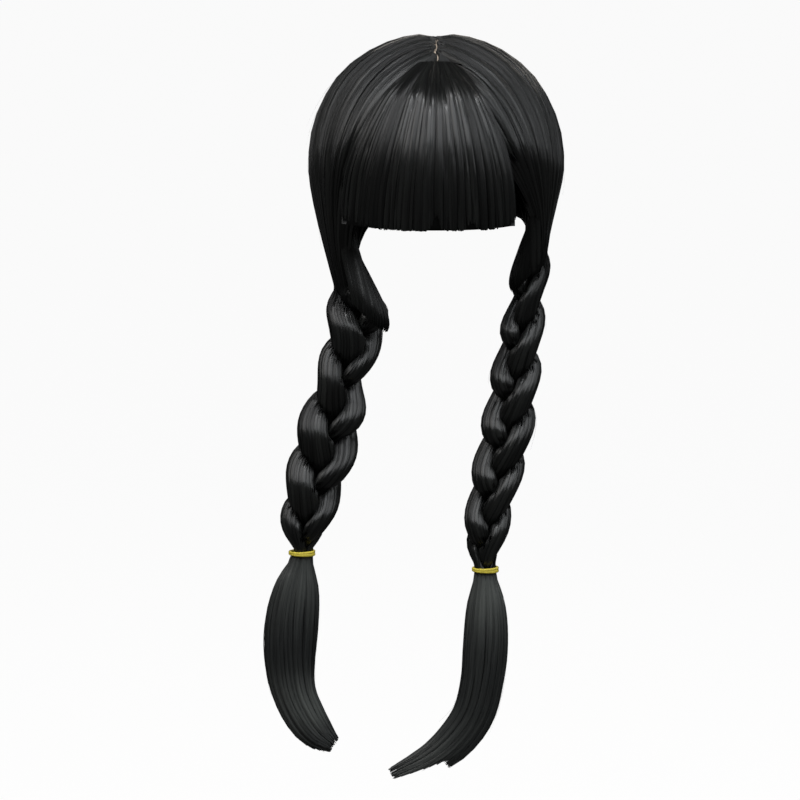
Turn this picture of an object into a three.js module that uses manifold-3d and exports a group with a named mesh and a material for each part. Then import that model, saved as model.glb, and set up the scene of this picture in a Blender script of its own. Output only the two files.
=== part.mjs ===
// A wig with two plaits: a net cap, two halves of crown hair parted in the middle, a blunt fringe, and
// on each side a three-strand plait with its elastic tie and loose tail.
// Millimetres, +Z up. The face side looks along -Y, and the origin is the inside top of the cap.
import * as THREE from "three";
import { mergeVertices } from "three/addons/utils/BufferGeometryUtils.js";
import Module from "manifold-3d";

const wasm = await Module();
wasm.setup();

const { degToRad, lerp, smoothstep } = THREE.MathUtils;
const FULL_TURN = 2 * Math.PI;

// The head space inside the cap
const headHalfWidth = 80;
const headHalfDepth = 98;
const headCrownHeight = 100; // inside top down to the widest level
const headLowerReach = 120; // half height of the ellipsoid below that level

// The cap. Its edge and its topmost ring of corners are given as sines of their height over the widest level.
const capWall = 2;
const capTopRise = 0.995;
const capHairline = 0.5;
const capOverEars = -0.08;
const capNape = -0.41;

// The clearances between pieces
const seatGap = 0.3;
const hairSeatGap = 1.2; // between the cap's facets and the hair's
const strandGap = 2.6;
const partingHalfGap = 0.7;

// How thick the hair lies on the cap
const topHair = 8;
const partingHair = 3.2;
const sideHair = 21.5;
const frontHair = 14;
const backHair = 18;
const fullHairAt = 0.36; // share of a flow line's travel at which the hair is at its full thickness
const hairLowerReach = 150; // half height of the hair's ellipsoid below the widest level
const lockRelief = 1.1;

// The parting and the edges of the hair, as turns and levels round the head
const partingFrontAngle = 30; // degrees before the top where the fringe springs
const partingStripBackAngle = 14; // degrees behind the top where the bare strip ends
const partingStripWidth = 5;
const partingStripThickness = 1.1;
const templeRise = 26; // above the widest level
const napeTurn = 66; // degrees behind the side where the nape edge leaves the head
const napeDrop = 54; // below the widest level
const leavesAt = 0.62; // share of a flow line's travel that lies on the head
const bundleEdge = 14; // degrees kept between the two faces of the hair where it gathers above a plait

// The fringe
const fringeThickness = 13;
const fringeTipThickness = 8;
const fringeRootThickness = 3;
const fringeStandOff = 3; // proud of the crown hair
const fringeEdgeThinning = 0.6; // how much of its thickness the fringe loses at its side edges
const fringeRootHalfWidth = 13;
const fringeLeftTurn = 51;
const fringeRightTurn = 40.5;
const fringeDrop = 41; // below the widest level

// The plaits, ties and tails
const strandAcross = 0.47; // how far a strand swings out, as a share of the plait's half width
const strandDeep = 0.45; // and to the front and back, as a share of its half depth
const strandOwnWidth = 0.55; // a strand's own half width and half depth as shares of the plait's
const strandOwnDepth = 0.74;
const strandHurry = 14; // degrees that a strand runs ahead or behind on its way round
const strandPress = 4; // low for a rounder strand, high for a squarer one
const tieWall = 1.3;
const tieHeight = 4.4;
const tieGrip = 5; // length of the even neck on either side of the tie's middle
const tieWraps = 2;

// Each section: its share of the plait's length, how far its middle bows out from the straight line (a share of
// the plait's half width), and its half width and half depth as shares of the plait's own.
const leftPlaitSections = [
  { share: 0, bow: 0, width: 0.5, depth: 0.9 },
  { share: 0.07, bow: -0.23, width: 0.86, depth: 1 },
  { share: 0.15, bow: -0.4, width: 1.02, depth: 1.05 },
  { share: 0.35, bow: -0.19, width: 0.8, depth: 1 },
  { share: 0.55, bow: -0.13, width: 1.06, depth: 1 },
  { share: 0.7, bow: -0.04, width: 0.99, depth: 1 },
  { share: 0.85, bow: 0.05, width: 0.86, depth: 0.95 },
  { share: 0.94, bow: 0.02, width: 0.68, depth: 0.75 },
  { share: 1, bow: 0, width: 0.33, depth: 0.48 },
];
const rightPlaitSections = [
  { share: 0, bow: 0, width: 0.45, depth: 1 },
  { share: 0.07, bow: -0.01, width: 0.61, depth: 1 },
  { share: 0.2, bow: -0.04, width: 0.78, depth: 1 },
  { share: 0.4, bow: 0, width: 0.97, depth: 1.05 },
  { share: 0.6, bow: -0.03, width: 1.06, depth: 1 },
  { share: 0.8, bow: -0.2, width: 0.95, depth: 1 },
  { share: 0.92, bow: -0.19, width: 0.85, depth: 0.9 },
  { share: 1, bow: 0, width: 0.43, depth: 0.54 },
];

// Each tail section: its share of the tail's length, how far its middle lies out from the tie (a share of the
// tail's reach), and its half width and half depth as shares of the tail's own.
const leftTailSections = [
  { share: 0, out: 0, width: 0.43, depth: 0.62 },
  { share: 0.14, out: 0.13, width: 0.86, depth: 0.84 },
  { share: 0.34, out: 0.29, width: 1.05, depth: 1 },
  { share: 0.56, out: 0.36, width: 0.98, depth: 0.95 },
  { share: 0.72, out: 0.24, width: 0.86, depth: 0.85 },
  { share: 0.86, out: -0.12, width: 0.78, depth: 0.7 },
  { share: 0.95, out: -0.52, width: 0.62, depth: 0.5 },
  { share: 1, out: -0.92, width: 0.34, depth: 0.3 },
];
const rightTailSections = [
  { share: 0, out: 0, width: 0.52, depth: 0.66 },
  { share: 0.14, out: 0.01, width: 0.9, depth: 0.84 },
  { share: 0.34, out: 0.01, width: 1.05, depth: 1 },
  { share: 0.54, out: -0.03, width: 1, depth: 0.95 },
  { share: 0.7, out: -0.13, width: 0.98, depth: 0.85 },
  { share: 0.83, out: -0.34, width: 0.92, depth: 0.7 },
  { share: 0.92, out: -0.6, width: 0.7, depth: 0.5 },
  { share: 1, out: -1, width: 0.32, depth: 0.3 },
];

// The left and right plaits hang unevenly. "out" is the distance from the middle, and "drop" the distance below
// the origin.
const leftPlait = {
  side: -1,
  templeTurn: 56, // degrees before the side where the front edge of the hair leaves the head
  rootOut: 69.5,
  rootDrop: 201,
  rootLean: 0.28, // towards the middle, per unit of drop
  tieOut: 111.5,
  tieDrop: 428,
  halfWidth: 28,
  halfDepth: 16.5,
  crossingsPerStrand: 5.13,
  firstCrossing: 13, // degrees of a strand's round already made at the top
  topTurn: 23, // degrees that the plait is turned to the front at its top
  lowTurn: 2, // and further down
  sections: leftPlaitSections,
  tailDrop: 163,
  tailReach: 29,
  tailHalfWidth: 21,
  tailHalfDepth: 11.5,
  tailSections: leftTailSections,
};
const rightPlait = {
  side: 1,
  templeTurn: 57,
  rootOut: 82.5,
  rootDrop: 170,
  rootLean: 0.1,
  tieOut: 41.5,
  tieDrop: 442,
  halfWidth: 21.7,
  halfDepth: 15,
  crossingsPerStrand: 6.59,
  firstCrossing: -3,
  topTurn: 33,
  lowTurn: -5,
  sections: rightPlaitSections,
  tailDrop: 176,
  tailReach: 78,
  tailHalfWidth: 17.5,
  tailHalfDepth: 10.5,
  tailSections: rightTailSections,
};

// Mesh steps
const crownSteps = 15;
const crownColumns = 22;
const crownLocks = 8;
const fringeSteps = 10;
const fringeColumns = 22;
const fringeLocks = 11;
const capSteps = 7;
const capColumns = 26;
const strandStepsPerTurn = 27;
const strandSides = 8;
const tailSteps = 14;
const tailSides = 12;
const tailLocks = 6;

const materials = {
  hair: new THREE.MeshStandardMaterial({ color: 0x17181a, roughness: 0.35, metalness: 0 }),
  net: new THREE.MeshStandardMaterial({ color: 0x101012, roughness: 0.85, metalness: 0 }),
  parting: new THREE.MeshStandardMaterial({ color: 0xb58d76, roughness: 0.6, metalness: 0 }),
  elastic: new THREE.MeshStandardMaterial({ color: 0xd8c83a, roughness: 0.5, metalness: 0 }),
};

// The three ellipsoids that everything on the head follows, as half axes
const headShape = {
  width: headHalfWidth,
  front: headHalfDepth,
  back: headHalfDepth,
  top: headCrownHeight,
  low: headLowerReach,
};
const capShape = grown(headShape, capWall);
const seatShape = grown(capShape, hairSeatGap);
const hairShape = {
  width: seatShape.width + sideHair,
  front: seatShape.front + frontHair,
  back: seatShape.back + backHair,
  top: seatShape.top + topHair,
  low: hairLowerReach,
};

function grown(shape, by) {
  return Object.fromEntries(Object.entries(shape).map(([axis, length]) => [axis, length + by]));
}

// The point of an ellipsoid shape in a unit direction from the head's middle
function onShape(shape, direction) {
  return new THREE.Vector3(
    direction.x * shape.width,
    direction.y * (direction.y < 0 ? shape.front : shape.back),
    direction.z * (direction.z < 0 ? shape.low : shape.top) - headCrownHeight,
  );
}

// A direction by its turn from the side (degrees, to the front below zero) and its height as a sine
function directionAt(side, turn, rise) {
  const level = Math.sqrt(1 - rise * rise);
  const angle = degToRad(turn);
  return new THREE.Vector3(side * level * Math.cos(angle), level * Math.sin(angle), rise);
}

// Moves from one direction to another along the great circle
function directionBetween(from, to, share) {
  const angle = from.angleTo(to);
  const a = Math.sin((1 - share) * angle);
  const b = Math.sin(share * angle);
  return from.clone().multiplyScalar(a).addScaledVector(to, b).normalize();
}

// A smooth curve through one column of a table, read at a share
function column(rows, name, share) {
  const last = rows.length - 1;
  const i = Math.max(0, Math.min(last - 1, rows.findIndex((row) => row.share >= share) - 1));
  const [a, b] = [rows[i], rows[i + 1]];
  const slope = (at) => {
    const before = rows[Math.max(0, at - 1)];
    const after = rows[Math.min(last, at + 1)];
    return (after[name] - before[name]) / (after.share - before.share);
  };
  const span = b.share - a.share;
  const u = (share - a.share) / span;
  const ease = u * u * (3 - 2 * u);
  const leaving = u * (1 - u) * (1 - u) * span * slope(i);
  const arriving = u * u * (1 - u) * span * slope(i + 1);
  return lerp(a[name], b[name], ease) + leaving - arriving;
}

// A value of 0 to 1 that swells over each lock and pinches between locks
function lockSwell(share, locks) {
  return Math.abs(Math.sin(share * locks * Math.PI));
}

const shares = (steps) => Array.from({ length: steps + 1 }, (_, i) => i / steps);

// Skins closed sections that have an even number of points, closes both ends with a ladder across the section
// from its first to its last point, and turns the faces outwards
function lofted(sections) {
  const sides = sections[0].length;
  const index = [];
  const face = (row, ...corners) => corners.forEach((corner) => index.push(row * sides + corner));
  for (let row = 0; row < sections.length - 1; row++) {
    for (let side = 0; side < sides; side++) {
      const next = (side + 1) % sides;
      face(row, side, next, side + sides);
      face(row, next, next + sides, side + sides);
    }
  }
  const end = sections.length - 1;
  for (let side = 0; side < sides / 2 - 1; side++) {
    const [near, far] = [side + 1, sides - 2 - side];
    const across = sides - 1 - side;
    face(0, side, far, near);
    face(0, side, across, far);
    face(end, side, near, far);
    face(end, side, far, across);
  }
  const geometry = new THREE.BufferGeometry().setFromPoints(sections.flat());
  if (signedVolume(geometry, index) < 0) index.reverse();
  geometry.setIndex(index);
  geometry.computeVertexNormals();
  return geometry;
}

function signedVolume(geometry, index) {
  const points = geometry.getAttribute("position");
  const corners = [new THREE.Vector3(), new THREE.Vector3(), new THREE.Vector3()];
  let volume = 0;
  for (let i = 0; i < index.length; i += 3) {
    corners.forEach((corner, k) => corner.fromBufferAttribute(points, index[i + k]));
    const [a, b, c] = corners;
    volume += a.dot(b.cross(c)) / 6;
  }
  return volume;
}

function toSolid(geometry) {
  const bare = new THREE.BufferGeometry().setAttribute(
    "position",
    geometry.toNonIndexed().getAttribute("position"),
  );
  const merged = mergeVertices(bare, 1e-3);
  return new wasm.Manifold(
    new wasm.Mesh({
      numProp: 3,
      vertProperties: merged.getAttribute("position").array,
      triVerts: new Uint32Array(merged.index.array),
    }),
  );
}

function toGeometry(solid) {
  const mesh = solid.getMesh();
  const geometry = new THREE.BufferGeometry();
  geometry.setAttribute("position", new THREE.BufferAttribute(mesh.vertProperties, 3));
  geometry.setIndex(new THREE.BufferAttribute(mesh.triVerts, 1));
  geometry.computeVertexNormals();
  return geometry;
}

// The largest of a cut solid's bodies, so that a sliver left by a cut is dropped
function mainBody(solid) {
  return solid.decompose().sort((a, b) => b.volume() - a.volume())[0];
}

// The edge of the cap: a hairline at the front, cut up over the ears, low at the nape
function capRimRise(turn) {
  const toFront = Math.max(0, -Math.sin(turn));
  const toBack = Math.max(0, Math.sin(turn));
  return lerp(lerp(capOverEars, capHairline, toFront ** 1.5), capNape, toBack ** 1.5);
}

// A bowl over the head: rings from the top out to the rim on the outer face, then back on the inner face
function capGeometry() {
  const ring = (shape, share) =>
    Array.from({ length: capColumns }, (_, i) => {
      const turn = (i / capColumns) * FULL_TURN;
      const rim = Math.acos(capRimRise(turn));
      const polar = lerp(Math.acos(capTopRise), rim, share);
      const around = new THREE.Vector3(Math.cos(turn), Math.sin(turn), 0);
      const direction = around.multiplyScalar(Math.sin(polar)).setZ(Math.cos(polar));
      return onShape(shape, direction);
    });
  const outer = shares(capSteps).map((share) => ring(capShape, share));
  const inner = shares(capSteps).map((share) => ring(headShape, 1 - share));
  return lofted([...outer, ...inner]);
}

// The skin-coloured strip on top of the cap that shows between the two halves of hair
function partingStripGeometry(margin = 0) {
  const steps = 8;
  const low = grown(capShape, margin ? 0 : seatGap);
  const high = grown(capShape, seatGap + partingStripThickness + margin);
  const half = partingStripWidth / 2 + margin;
  const ends = margin / headCrownHeight;
  const sections = shares(steps).map((share) => {
    const from = -degToRad(partingFrontAngle) - ends;
    const angle = lerp(from, degToRad(partingStripBackAngle) + ends, share);
    const middle = new THREE.Vector3(0, Math.sin(angle), Math.cos(angle));
    const corner = (shape, x) => onShape(shape, middle).setX(x);
    return [corner(low, -half), corner(low, half), corner(high, half), corner(high, -half)];
  });
  return lofted(sections);
}

// The direction on the parting where a flow line of the crown hair springs
function partingDirection(share) {
  const napeAngle = 90 + THREE.MathUtils.radToDeg(Math.asin(napeDrop / hairLowerReach));
  const angle = degToRad(lerp(-partingFrontAngle, napeAngle, share));
  return new THREE.Vector3(0, Math.sin(angle), Math.cos(angle));
}

// The direction where a flow line leaves the head for the top of its plait
function leavingDirection(plait, share) {
  const drop = lerp(-templeRise, napeDrop, share ** 1.3);
  const rise = -drop / (drop < 0 ? hairShape.top : hairLowerReach);
  return directionAt(plait.side, lerp(-plait.templeTurn, napeTurn, share), rise);
}

// A point of the crown hair: share 0 to 1 from the front edge to the nape, travel 0 to 1 from the parting to the
// top of the plait, on its outer or its inner face
function crownPoint(plait, share, travel, outer) {
  const { side } = plait;
  const shape = outer ? hairShape : seatShape;
  const from = partingDirection(share);
  const to = leavingDirection(plait, share);
  const onHead = (reach) => {
    const direction = directionBetween(from, to, reach / leavesAt);
    const point = onShape(shape, direction);
    if (outer) {
      const root = onShape(grown(seatShape, partingHair), direction);
      point.lerp(root, 1 - smoothstep(reach, -0.06, fullHairAt));
      const swell = lockRelief * (lockSwell(share, crownLocks) - 0.5) * smoothstep(reach, 0.05, 0.3);
      point.addScaledVector(direction, swell);
    }
    const held = Math.max(partingHalfGap, Math.abs(point.x));
    return point.setX(side * held);
  };
  if (travel <= leavesAt) return onHead(travel);

  const start = onHead(leavesAt);
  const before = onHead(leavesAt - 0.02);
  const end = bundlePoint(plait, share, outer);
  const length = start.distanceTo(end);
  const leaving = start.clone().sub(before).setLength(length * 0.5);
  const arriving = new THREE.Vector3(-side * plait.rootLean, 0, -1).setLength(length * 0.9);
  const u = (travel - leavesAt) / (1 - leavesAt);
  return hermite(start, leaving, end, arriving, u);
}

function hermite(start, leaving, end, arriving, u) {
  const ease = u * u * (3 - 2 * u);
  return start
    .clone()
    .lerp(end, ease)
    .addScaledVector(leaving, u * (1 - u) * (1 - u))
    .addScaledVector(arriving, -u * u * (1 - u));
}

// The end of a flow line in the gathered bundle above the plait: round the outer side for the outer face of the
// hair, and round the inner side for its inner face
function bundlePoint(plait, share, outer) {
  const { halfWidth, halfDepth } = plaitSize(plait, 0);
  const angle = degToRad(lerp(bundleEdge, 180 - bundleEdge, share));
  const outward = (outer ? 1 : -1) * Math.sin(angle) * halfWidth;
  const { rootOut, rootDrop, side } = plait;
  return new THREE.Vector3(
    side * (rootOut + outward),
    -Math.cos(angle) * halfDepth,
    -rootDrop,
  );
}

function crownHairGeometry(plait) {
  const columns = shares(crownColumns);
  const sections = shares(crownSteps).map((travel) => [
    ...columns.map((share) => crownPoint(plait, share, travel, true)),
    ...columns.map((share) => crownPoint(plait, 1 - share, travel, false)),
  ]);
  return lofted(sections);
}

// The fringe: locks that fan from the front of the parting and hang to a blunt cut. A margin makes the slightly
// larger form that the crown hair is cut back from.
function fringeGeometry(margin = 0) {
  const columns = shares(fringeColumns);
  return lofted(
    shares(fringeSteps).map((travel) => [
      ...columns.map((share) => fringePoint(share, travel, true, margin)),
      ...columns.map((share) => fringePoint(1 - share, travel, false, margin)),
    ]),
  );
}

function fringePoint(share, travel, outer, margin) {
  const across = lerp(-1, 1, share);
  const edge = across ** 4;
  const frontAngle = degToRad(partingFrontAngle);
  const halfRoot = (fringeRootHalfWidth + margin) / headHalfWidth;
  const from = new THREE.Vector3(across * halfRoot, -Math.sin(frontAngle), Math.cos(frontAngle));
  const turn = degToRad(across < 0 ? fringeLeftTurn : fringeRightTurn) + margin / headHalfWidth;
  const rise = -(fringeDrop + margin * 4) / hairLowerReach;
  const to = directionAt(1, across * THREE.MathUtils.radToDeg(turn) - 90, rise);
  const direction = directionBetween(from.normalize(), to, travel);

  const face = onShape(grown(hairShape, fringeStandOff * (1 - edge)), direction);
  const root = onShape(grown(seatShape, partingHair + fringeRootThickness), direction);
  face.lerp(root, 1 - smoothstep(travel, 0, 0.3));
  if (outer) {
    const swell = margin ? 0.5 : lockSwell(share, fringeLocks) - 0.5;
    const lift = lockRelief * swell * smoothstep(travel, 0.05, 0.3) + margin * 8;
    return face.addScaledVector(direction, lift);
  }
  const body = lerp(fringeRootThickness, fringeThickness, smoothstep(travel, 0, 0.5));
  const thickness = lerp(body, fringeTipThickness, smoothstep(travel, 0.7, 1));
  return face.addScaledVector(direction, -thickness * (1 - fringeEdgeThinning * edge) - margin);
}

function plaitSize(plait, share) {
  const neckFrom = 1 - tieGrip / (plait.tieDrop - plait.rootDrop);
  const at = Math.min(1, share / neckFrom);
  return {
    halfWidth: plait.halfWidth * column(plait.sections, "width", at),
    halfDepth: plait.halfDepth * column(plait.sections, "depth", at),
  };
}

function plaitMiddle(plait, share) {
  const straight = lerp(plait.rootOut, plait.tieOut, share);
  const out = straight + plait.halfWidth * column(plait.sections, "bow", share);
  const drop = lerp(plait.rootDrop + seatGap, plait.tieDrop, share);
  return new THREE.Vector3(plait.side * out, 0, -drop);
}

// Where the three strands' middles lie in one level section, out from the plait's own middle and back
function strandMiddles(plait, share) {
  const { halfWidth, halfDepth } = plaitSize(plait, share);
  const across = strandAcross * halfWidth;
  const deep = strandDeep * halfDepth;
  const advance = (plait.crossingsPerStrand / 3) * FULL_TURN * share;
  return [0, 1, 2].map((strand) => {
    const round = degToRad(plait.firstCrossing) + advance - (strand * FULL_TURN) / 3;
    const angle = round + degToRad(strandHurry) * Math.sin(round);
    return new THREE.Vector2(across * Math.sin(angle), deep * Math.sin(2 * angle));
  });
}

// How far a ray from a point inside an oval runs before it leaves the oval
function reachInOval(from, ray, halfWidth, halfDepth) {
  const start = new THREE.Vector2(from.x / halfWidth, from.y / halfDepth);
  const step = new THREE.Vector2(ray.x / halfWidth, ray.y / halfDepth);
  const [a, b, c] = [step.dot(step), start.dot(step), start.dot(start) - 1];
  return (-b + Math.sqrt(b * b - a * c)) / a;
}

// One strand's level section: an oval that its two neighbours flatten where they press on it, held inside the
// plait's own outline
function strandSection(plait, share, strand) {
  const { halfWidth, halfDepth } = plaitSize(plait, share);
  const slack = lerp(1.25, 1, smoothstep(share, 0.8, 0.96));
  const turn = -degToRad(lerp(plait.topTurn, plait.lowTurn, share) * (1 - smoothstep(share, 0.8, 0.97)));
  const middles = strandMiddles(plait, share);
  const own = middles[strand];
  const centre = plaitMiddle(plait, share);
  return Array.from({ length: strandSides }, (_, i) => {
    const angle = (i / strandSides) * FULL_TURN;
    const ray = new THREE.Vector2(Math.cos(angle), Math.sin(angle));
    const limits = [
      1 / Math.hypot(ray.x / (strandOwnWidth * halfWidth), ray.y / (strandOwnDepth * halfDepth)),
      reachInOval(own, ray, slack * halfWidth, slack * halfDepth),
    ];
    for (const other of middles) {
      const apart = other.clone().sub(own);
      const distance = apart.length();
      const towards = distance > 0 ? ray.dot(apart) / distance : 0;
      if (towards > 0) limits.push((distance - strandGap) / 2 / towards);
    }
    const pressed = limits.reduce((sum, limit) => sum + limit ** -strandPress, 0) ** (-1 / strandPress);
    const point = own.clone().addScaledVector(ray, pressed).rotateAround(new THREE.Vector2(), turn);
    return new THREE.Vector3(centre.x + plait.side * point.x, centre.y + point.y, centre.z);
  });
}

function strandGeometry(plait, strand) {
  const steps = Math.round((plait.crossingsPerStrand / 3) * strandStepsPerTurn);
  return lofted(shares(steps).map((share) => strandSection(plait, share, strand)));
}

// The elastic: a ring of wraps round the foot of the plait and the top of the tail
function tieGeometry(plait) {
  const inner = tieHole(plait);
  const steps = 3 * tieWraps;
  const sides = 14;
  const ring = (grow, height) =>
    Array.from({ length: sides }, (_, i) => {
      const angle = (i / sides) * FULL_TURN;
      return new THREE.Vector3(
        Math.cos(angle) * (inner.halfWidth + grow),
        Math.sin(angle) * (inner.halfDepth + grow),
        height,
      );
    });
  const outside = shares(steps).map((share) => {
    const bulge = tieWall * (0.65 + 0.35 * lockSwell(share, tieWraps));
    return ring(bulge, lerp(-tieHeight / 2, tieHeight / 2, share));
  });
  const body = toSolid(lofted(outside));
  const bore = toSolid(lofted([ring(0, -tieHeight), ring(0, tieHeight)]));
  return toGeometry(body.subtract(bore));
}

function tieHole(plait) {
  const neck = plaitSize(plait, 1);
  return {
    halfWidth: neck.halfWidth + seatGap,
    halfDepth: neck.halfDepth + seatGap,
  };
}

function tailMiddle(plait, share) {
  const out = plait.tieOut + plait.tailReach * column(plait.tailSections, "out", share);
  const drop = plait.tieDrop + seatGap + plait.tailDrop * share;
  return new THREE.Vector3(plait.side * out, 0, -drop);
}

// The loose hair below the tie, in ribbed locks that follow its own curve
function tailGeometry(plait) {
  const neckTo = tieGrip / plait.tailDrop;
  const sections = [0, ...shares(tailSteps).map((share) => lerp(neckTo, 1, share))].map((share) => {
    const centre = tailMiddle(plait, share);
    const near = 0.01;
    const ahead = tailMiddle(plait, Math.min(1, share + near));
    const behind = tailMiddle(plait, Math.max(0, share - near));
    const at = Math.max(0, (share - neckTo) / (1 - neckTo));
    const lean = Math.atan2(ahead.x - behind.x, behind.z - ahead.z) * smoothstep(at, 0, 0.1);
    const halfWidth = plait.tailHalfWidth * column(plait.tailSections, "width", at);
    const halfDepth = plait.tailHalfDepth * column(plait.tailSections, "depth", at);
    return Array.from({ length: tailSides }, (_, i) => {
      const angle = (i / tailSides) * FULL_TURN;
      const swell = 1 - 0.06 * (1 - lockSwell(i / tailSides, tailLocks)) * smoothstep(share, 0.05, 0.3);
      const across = Math.cos(angle) * halfWidth * swell;
      return new THREE.Vector3(
        centre.x + across * Math.cos(lean),
        centre.y + Math.sin(angle) * halfDepth * swell,
        centre.z + across * Math.sin(lean),
      );
    });
  });
  return lofted(sections);
}

const wig = new THREE.Group();

function addPiece(parent, name, geometry, material) {
  const mesh = new THREE.Mesh(geometry, material);
  mesh.name = name;
  parent.add(mesh);
  return mesh;
}

addPiece(wig, "wig_cap", capGeometry(), materials.net);
addPiece(wig, "parting_strip", partingStripGeometry(), materials.parting);
addPiece(wig, "fringe", fringeGeometry(), materials.hair);

const cutBack = toSolid(fringeGeometry(seatGap)).add(toSolid(partingStripGeometry(seatGap)));
const sides = { left: leftPlait, right: rightPlait };
for (const [name, plait] of Object.entries(sides)) {
  const crown = mainBody(toSolid(crownHairGeometry(plait)).subtract(cutBack));
  addPiece(wig, `crown_hair_${name}`, toGeometry(crown), materials.hair);
  for (let strand = 0; strand < 3; strand++) {
    addPiece(wig, `plait_${name}_strand_${strand + 1}`, strandGeometry(plait, strand), materials.hair);
  }
  addPiece(wig, `tail_${name}`, tailGeometry(plait), materials.hair);
  const tie = addPiece(wig, `tie_${name}`, tieGeometry(plait), materials.elastic);
  tie.position.set(plait.side * plait.tieOut, 0, -plait.tieDrop);
}

export default wig;
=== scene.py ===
"""A black wig with a middle parting, a blunt fringe and two plaits with yellow ties.

Metres, +Z up, the face side to -Y. The origin is the inside top of the cap.
"""

import math
from collections import namedtuple

import bmesh
import bpy
import numpy as np
from bpy.props import FloatProperty, FloatVectorProperty, IntProperty, PointerProperty
from mathutils import Matrix, Vector


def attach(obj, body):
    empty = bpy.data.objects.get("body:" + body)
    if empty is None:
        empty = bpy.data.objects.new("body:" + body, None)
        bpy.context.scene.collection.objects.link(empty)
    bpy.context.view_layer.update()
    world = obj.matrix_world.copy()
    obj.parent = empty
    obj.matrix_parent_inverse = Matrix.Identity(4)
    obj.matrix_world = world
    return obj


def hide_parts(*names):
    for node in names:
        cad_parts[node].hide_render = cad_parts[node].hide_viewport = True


bl_info = {
    "name": "Plaited wig",
    "version": (1, 0, 0),
    "blender": (4, 5, 0),
    "location": "3D View > Sidebar > Wig",
    "description": "Builds a wig with a fringe and two plaits from locks of hair",
    "category": "Add Mesh",
}

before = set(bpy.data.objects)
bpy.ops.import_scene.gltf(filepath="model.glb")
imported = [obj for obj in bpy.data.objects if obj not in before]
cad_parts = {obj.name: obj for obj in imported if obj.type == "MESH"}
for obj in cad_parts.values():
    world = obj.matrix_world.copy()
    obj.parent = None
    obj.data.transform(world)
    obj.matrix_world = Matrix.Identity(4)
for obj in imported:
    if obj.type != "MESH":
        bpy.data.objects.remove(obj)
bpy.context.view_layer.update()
FULL_TURN = 2 * math.pi

# How a plait swells along its length: the share of the length, how far its middle bows out (a share of its
# half width), and its half width and half depth as shares of the plait's own
LEFT_PLAIT_SECTIONS = [
    {"share": 0, "bow": 0, "width": 0.5, "depth": 0.9},
    {"share": 0.07, "bow": -0.23, "width": 0.86, "depth": 1},
    {"share": 0.15, "bow": -0.4, "width": 1.02, "depth": 1.05},
    {"share": 0.35, "bow": -0.19, "width": 0.8, "depth": 1},
    {"share": 0.55, "bow": -0.13, "width": 1.06, "depth": 1},
    {"share": 0.7, "bow": -0.04, "width": 0.99, "depth": 1},
    {"share": 0.85, "bow": 0.05, "width": 0.86, "depth": 0.95},
    {"share": 0.94, "bow": 0.02, "width": 0.68, "depth": 0.75},
    {"share": 1, "bow": 0, "width": 0.33, "depth": 0.48},
]
RIGHT_PLAIT_SECTIONS = [
    {"share": 0, "bow": 0, "width": 0.45, "depth": 1},
    {"share": 0.07, "bow": -0.01, "width": 0.61, "depth": 1},
    {"share": 0.2, "bow": -0.04, "width": 0.78, "depth": 1},
    {"share": 0.4, "bow": 0, "width": 0.97, "depth": 1.05},
    {"share": 0.6, "bow": -0.03, "width": 1.06, "depth": 1},
    {"share": 0.8, "bow": -0.2, "width": 0.95, "depth": 1},
    {"share": 0.92, "bow": -0.19, "width": 0.85, "depth": 0.9},
    {"share": 1, "bow": 0, "width": 0.43, "depth": 0.54},
]

# How a tail swells: the share of its length, how far its middle lies out from the tie (a share of its
# reach), its half width and half depth as shares of the tail's own, and its painted sheen there, which makes
# its hair paler and glossier where it catches the light
LEFT_TAIL_SECTIONS = [
    {"share": 0, "out": 0, "width": 0.43, "depth": 0.62, "painted_sheen_and_gloss": 0.75},
    {"share": 0.14, "out": 0.13, "width": 0.86, "depth": 1, "painted_sheen_and_gloss": 0.7},
    {"share": 0.34, "out": 0.29, "width": 1.05, "depth": 1.25, "painted_sheen_and_gloss": 0.25},
    {"share": 0.56, "out": 0.36, "width": 0.98, "depth": 1.12, "painted_sheen_and_gloss": 0.15},
    {"share": 0.72, "out": 0.24, "width": 0.86, "depth": 0.9, "painted_sheen_and_gloss": 1.1},
    {"share": 0.86, "out": -0.12, "width": 0.78, "depth": 0.7, "painted_sheen_and_gloss": 1.2},
    {"share": 0.95, "out": -0.52, "width": 0.62, "depth": 0.5, "painted_sheen_and_gloss": 0.25},
    {"share": 1, "out": -0.92, "width": 0.34, "depth": 0.3, "painted_sheen_and_gloss": 0.15},
]
RIGHT_TAIL_SECTIONS = [
    {"share": 0, "out": 0, "width": 0.52, "depth": 0.66, "painted_sheen_and_gloss": 1},
    {"share": 0.14, "out": 0.01, "width": 0.9, "depth": 1, "painted_sheen_and_gloss": 1},
    {"share": 0.34, "out": 0.01, "width": 1.05, "depth": 1.25, "painted_sheen_and_gloss": 0.28},
    {"share": 0.54, "out": -0.03, "width": 1, "depth": 1.12, "painted_sheen_and_gloss": 0.15},
    {"share": 0.7, "out": -0.13, "width": 0.98, "depth": 0.9, "painted_sheen_and_gloss": 0.25},
    {"share": 0.83, "out": -0.34, "width": 0.92, "depth": 0.7, "painted_sheen_and_gloss": 0.4},
    {"share": 0.92, "out": -0.6, "width": 0.74, "depth": 0.5, "painted_sheen_and_gloss": 0.6},
    {"share": 1, "out": -1, "width": 0.46, "depth": 0.3, "painted_sheen_and_gloss": 0.5},
]

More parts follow.
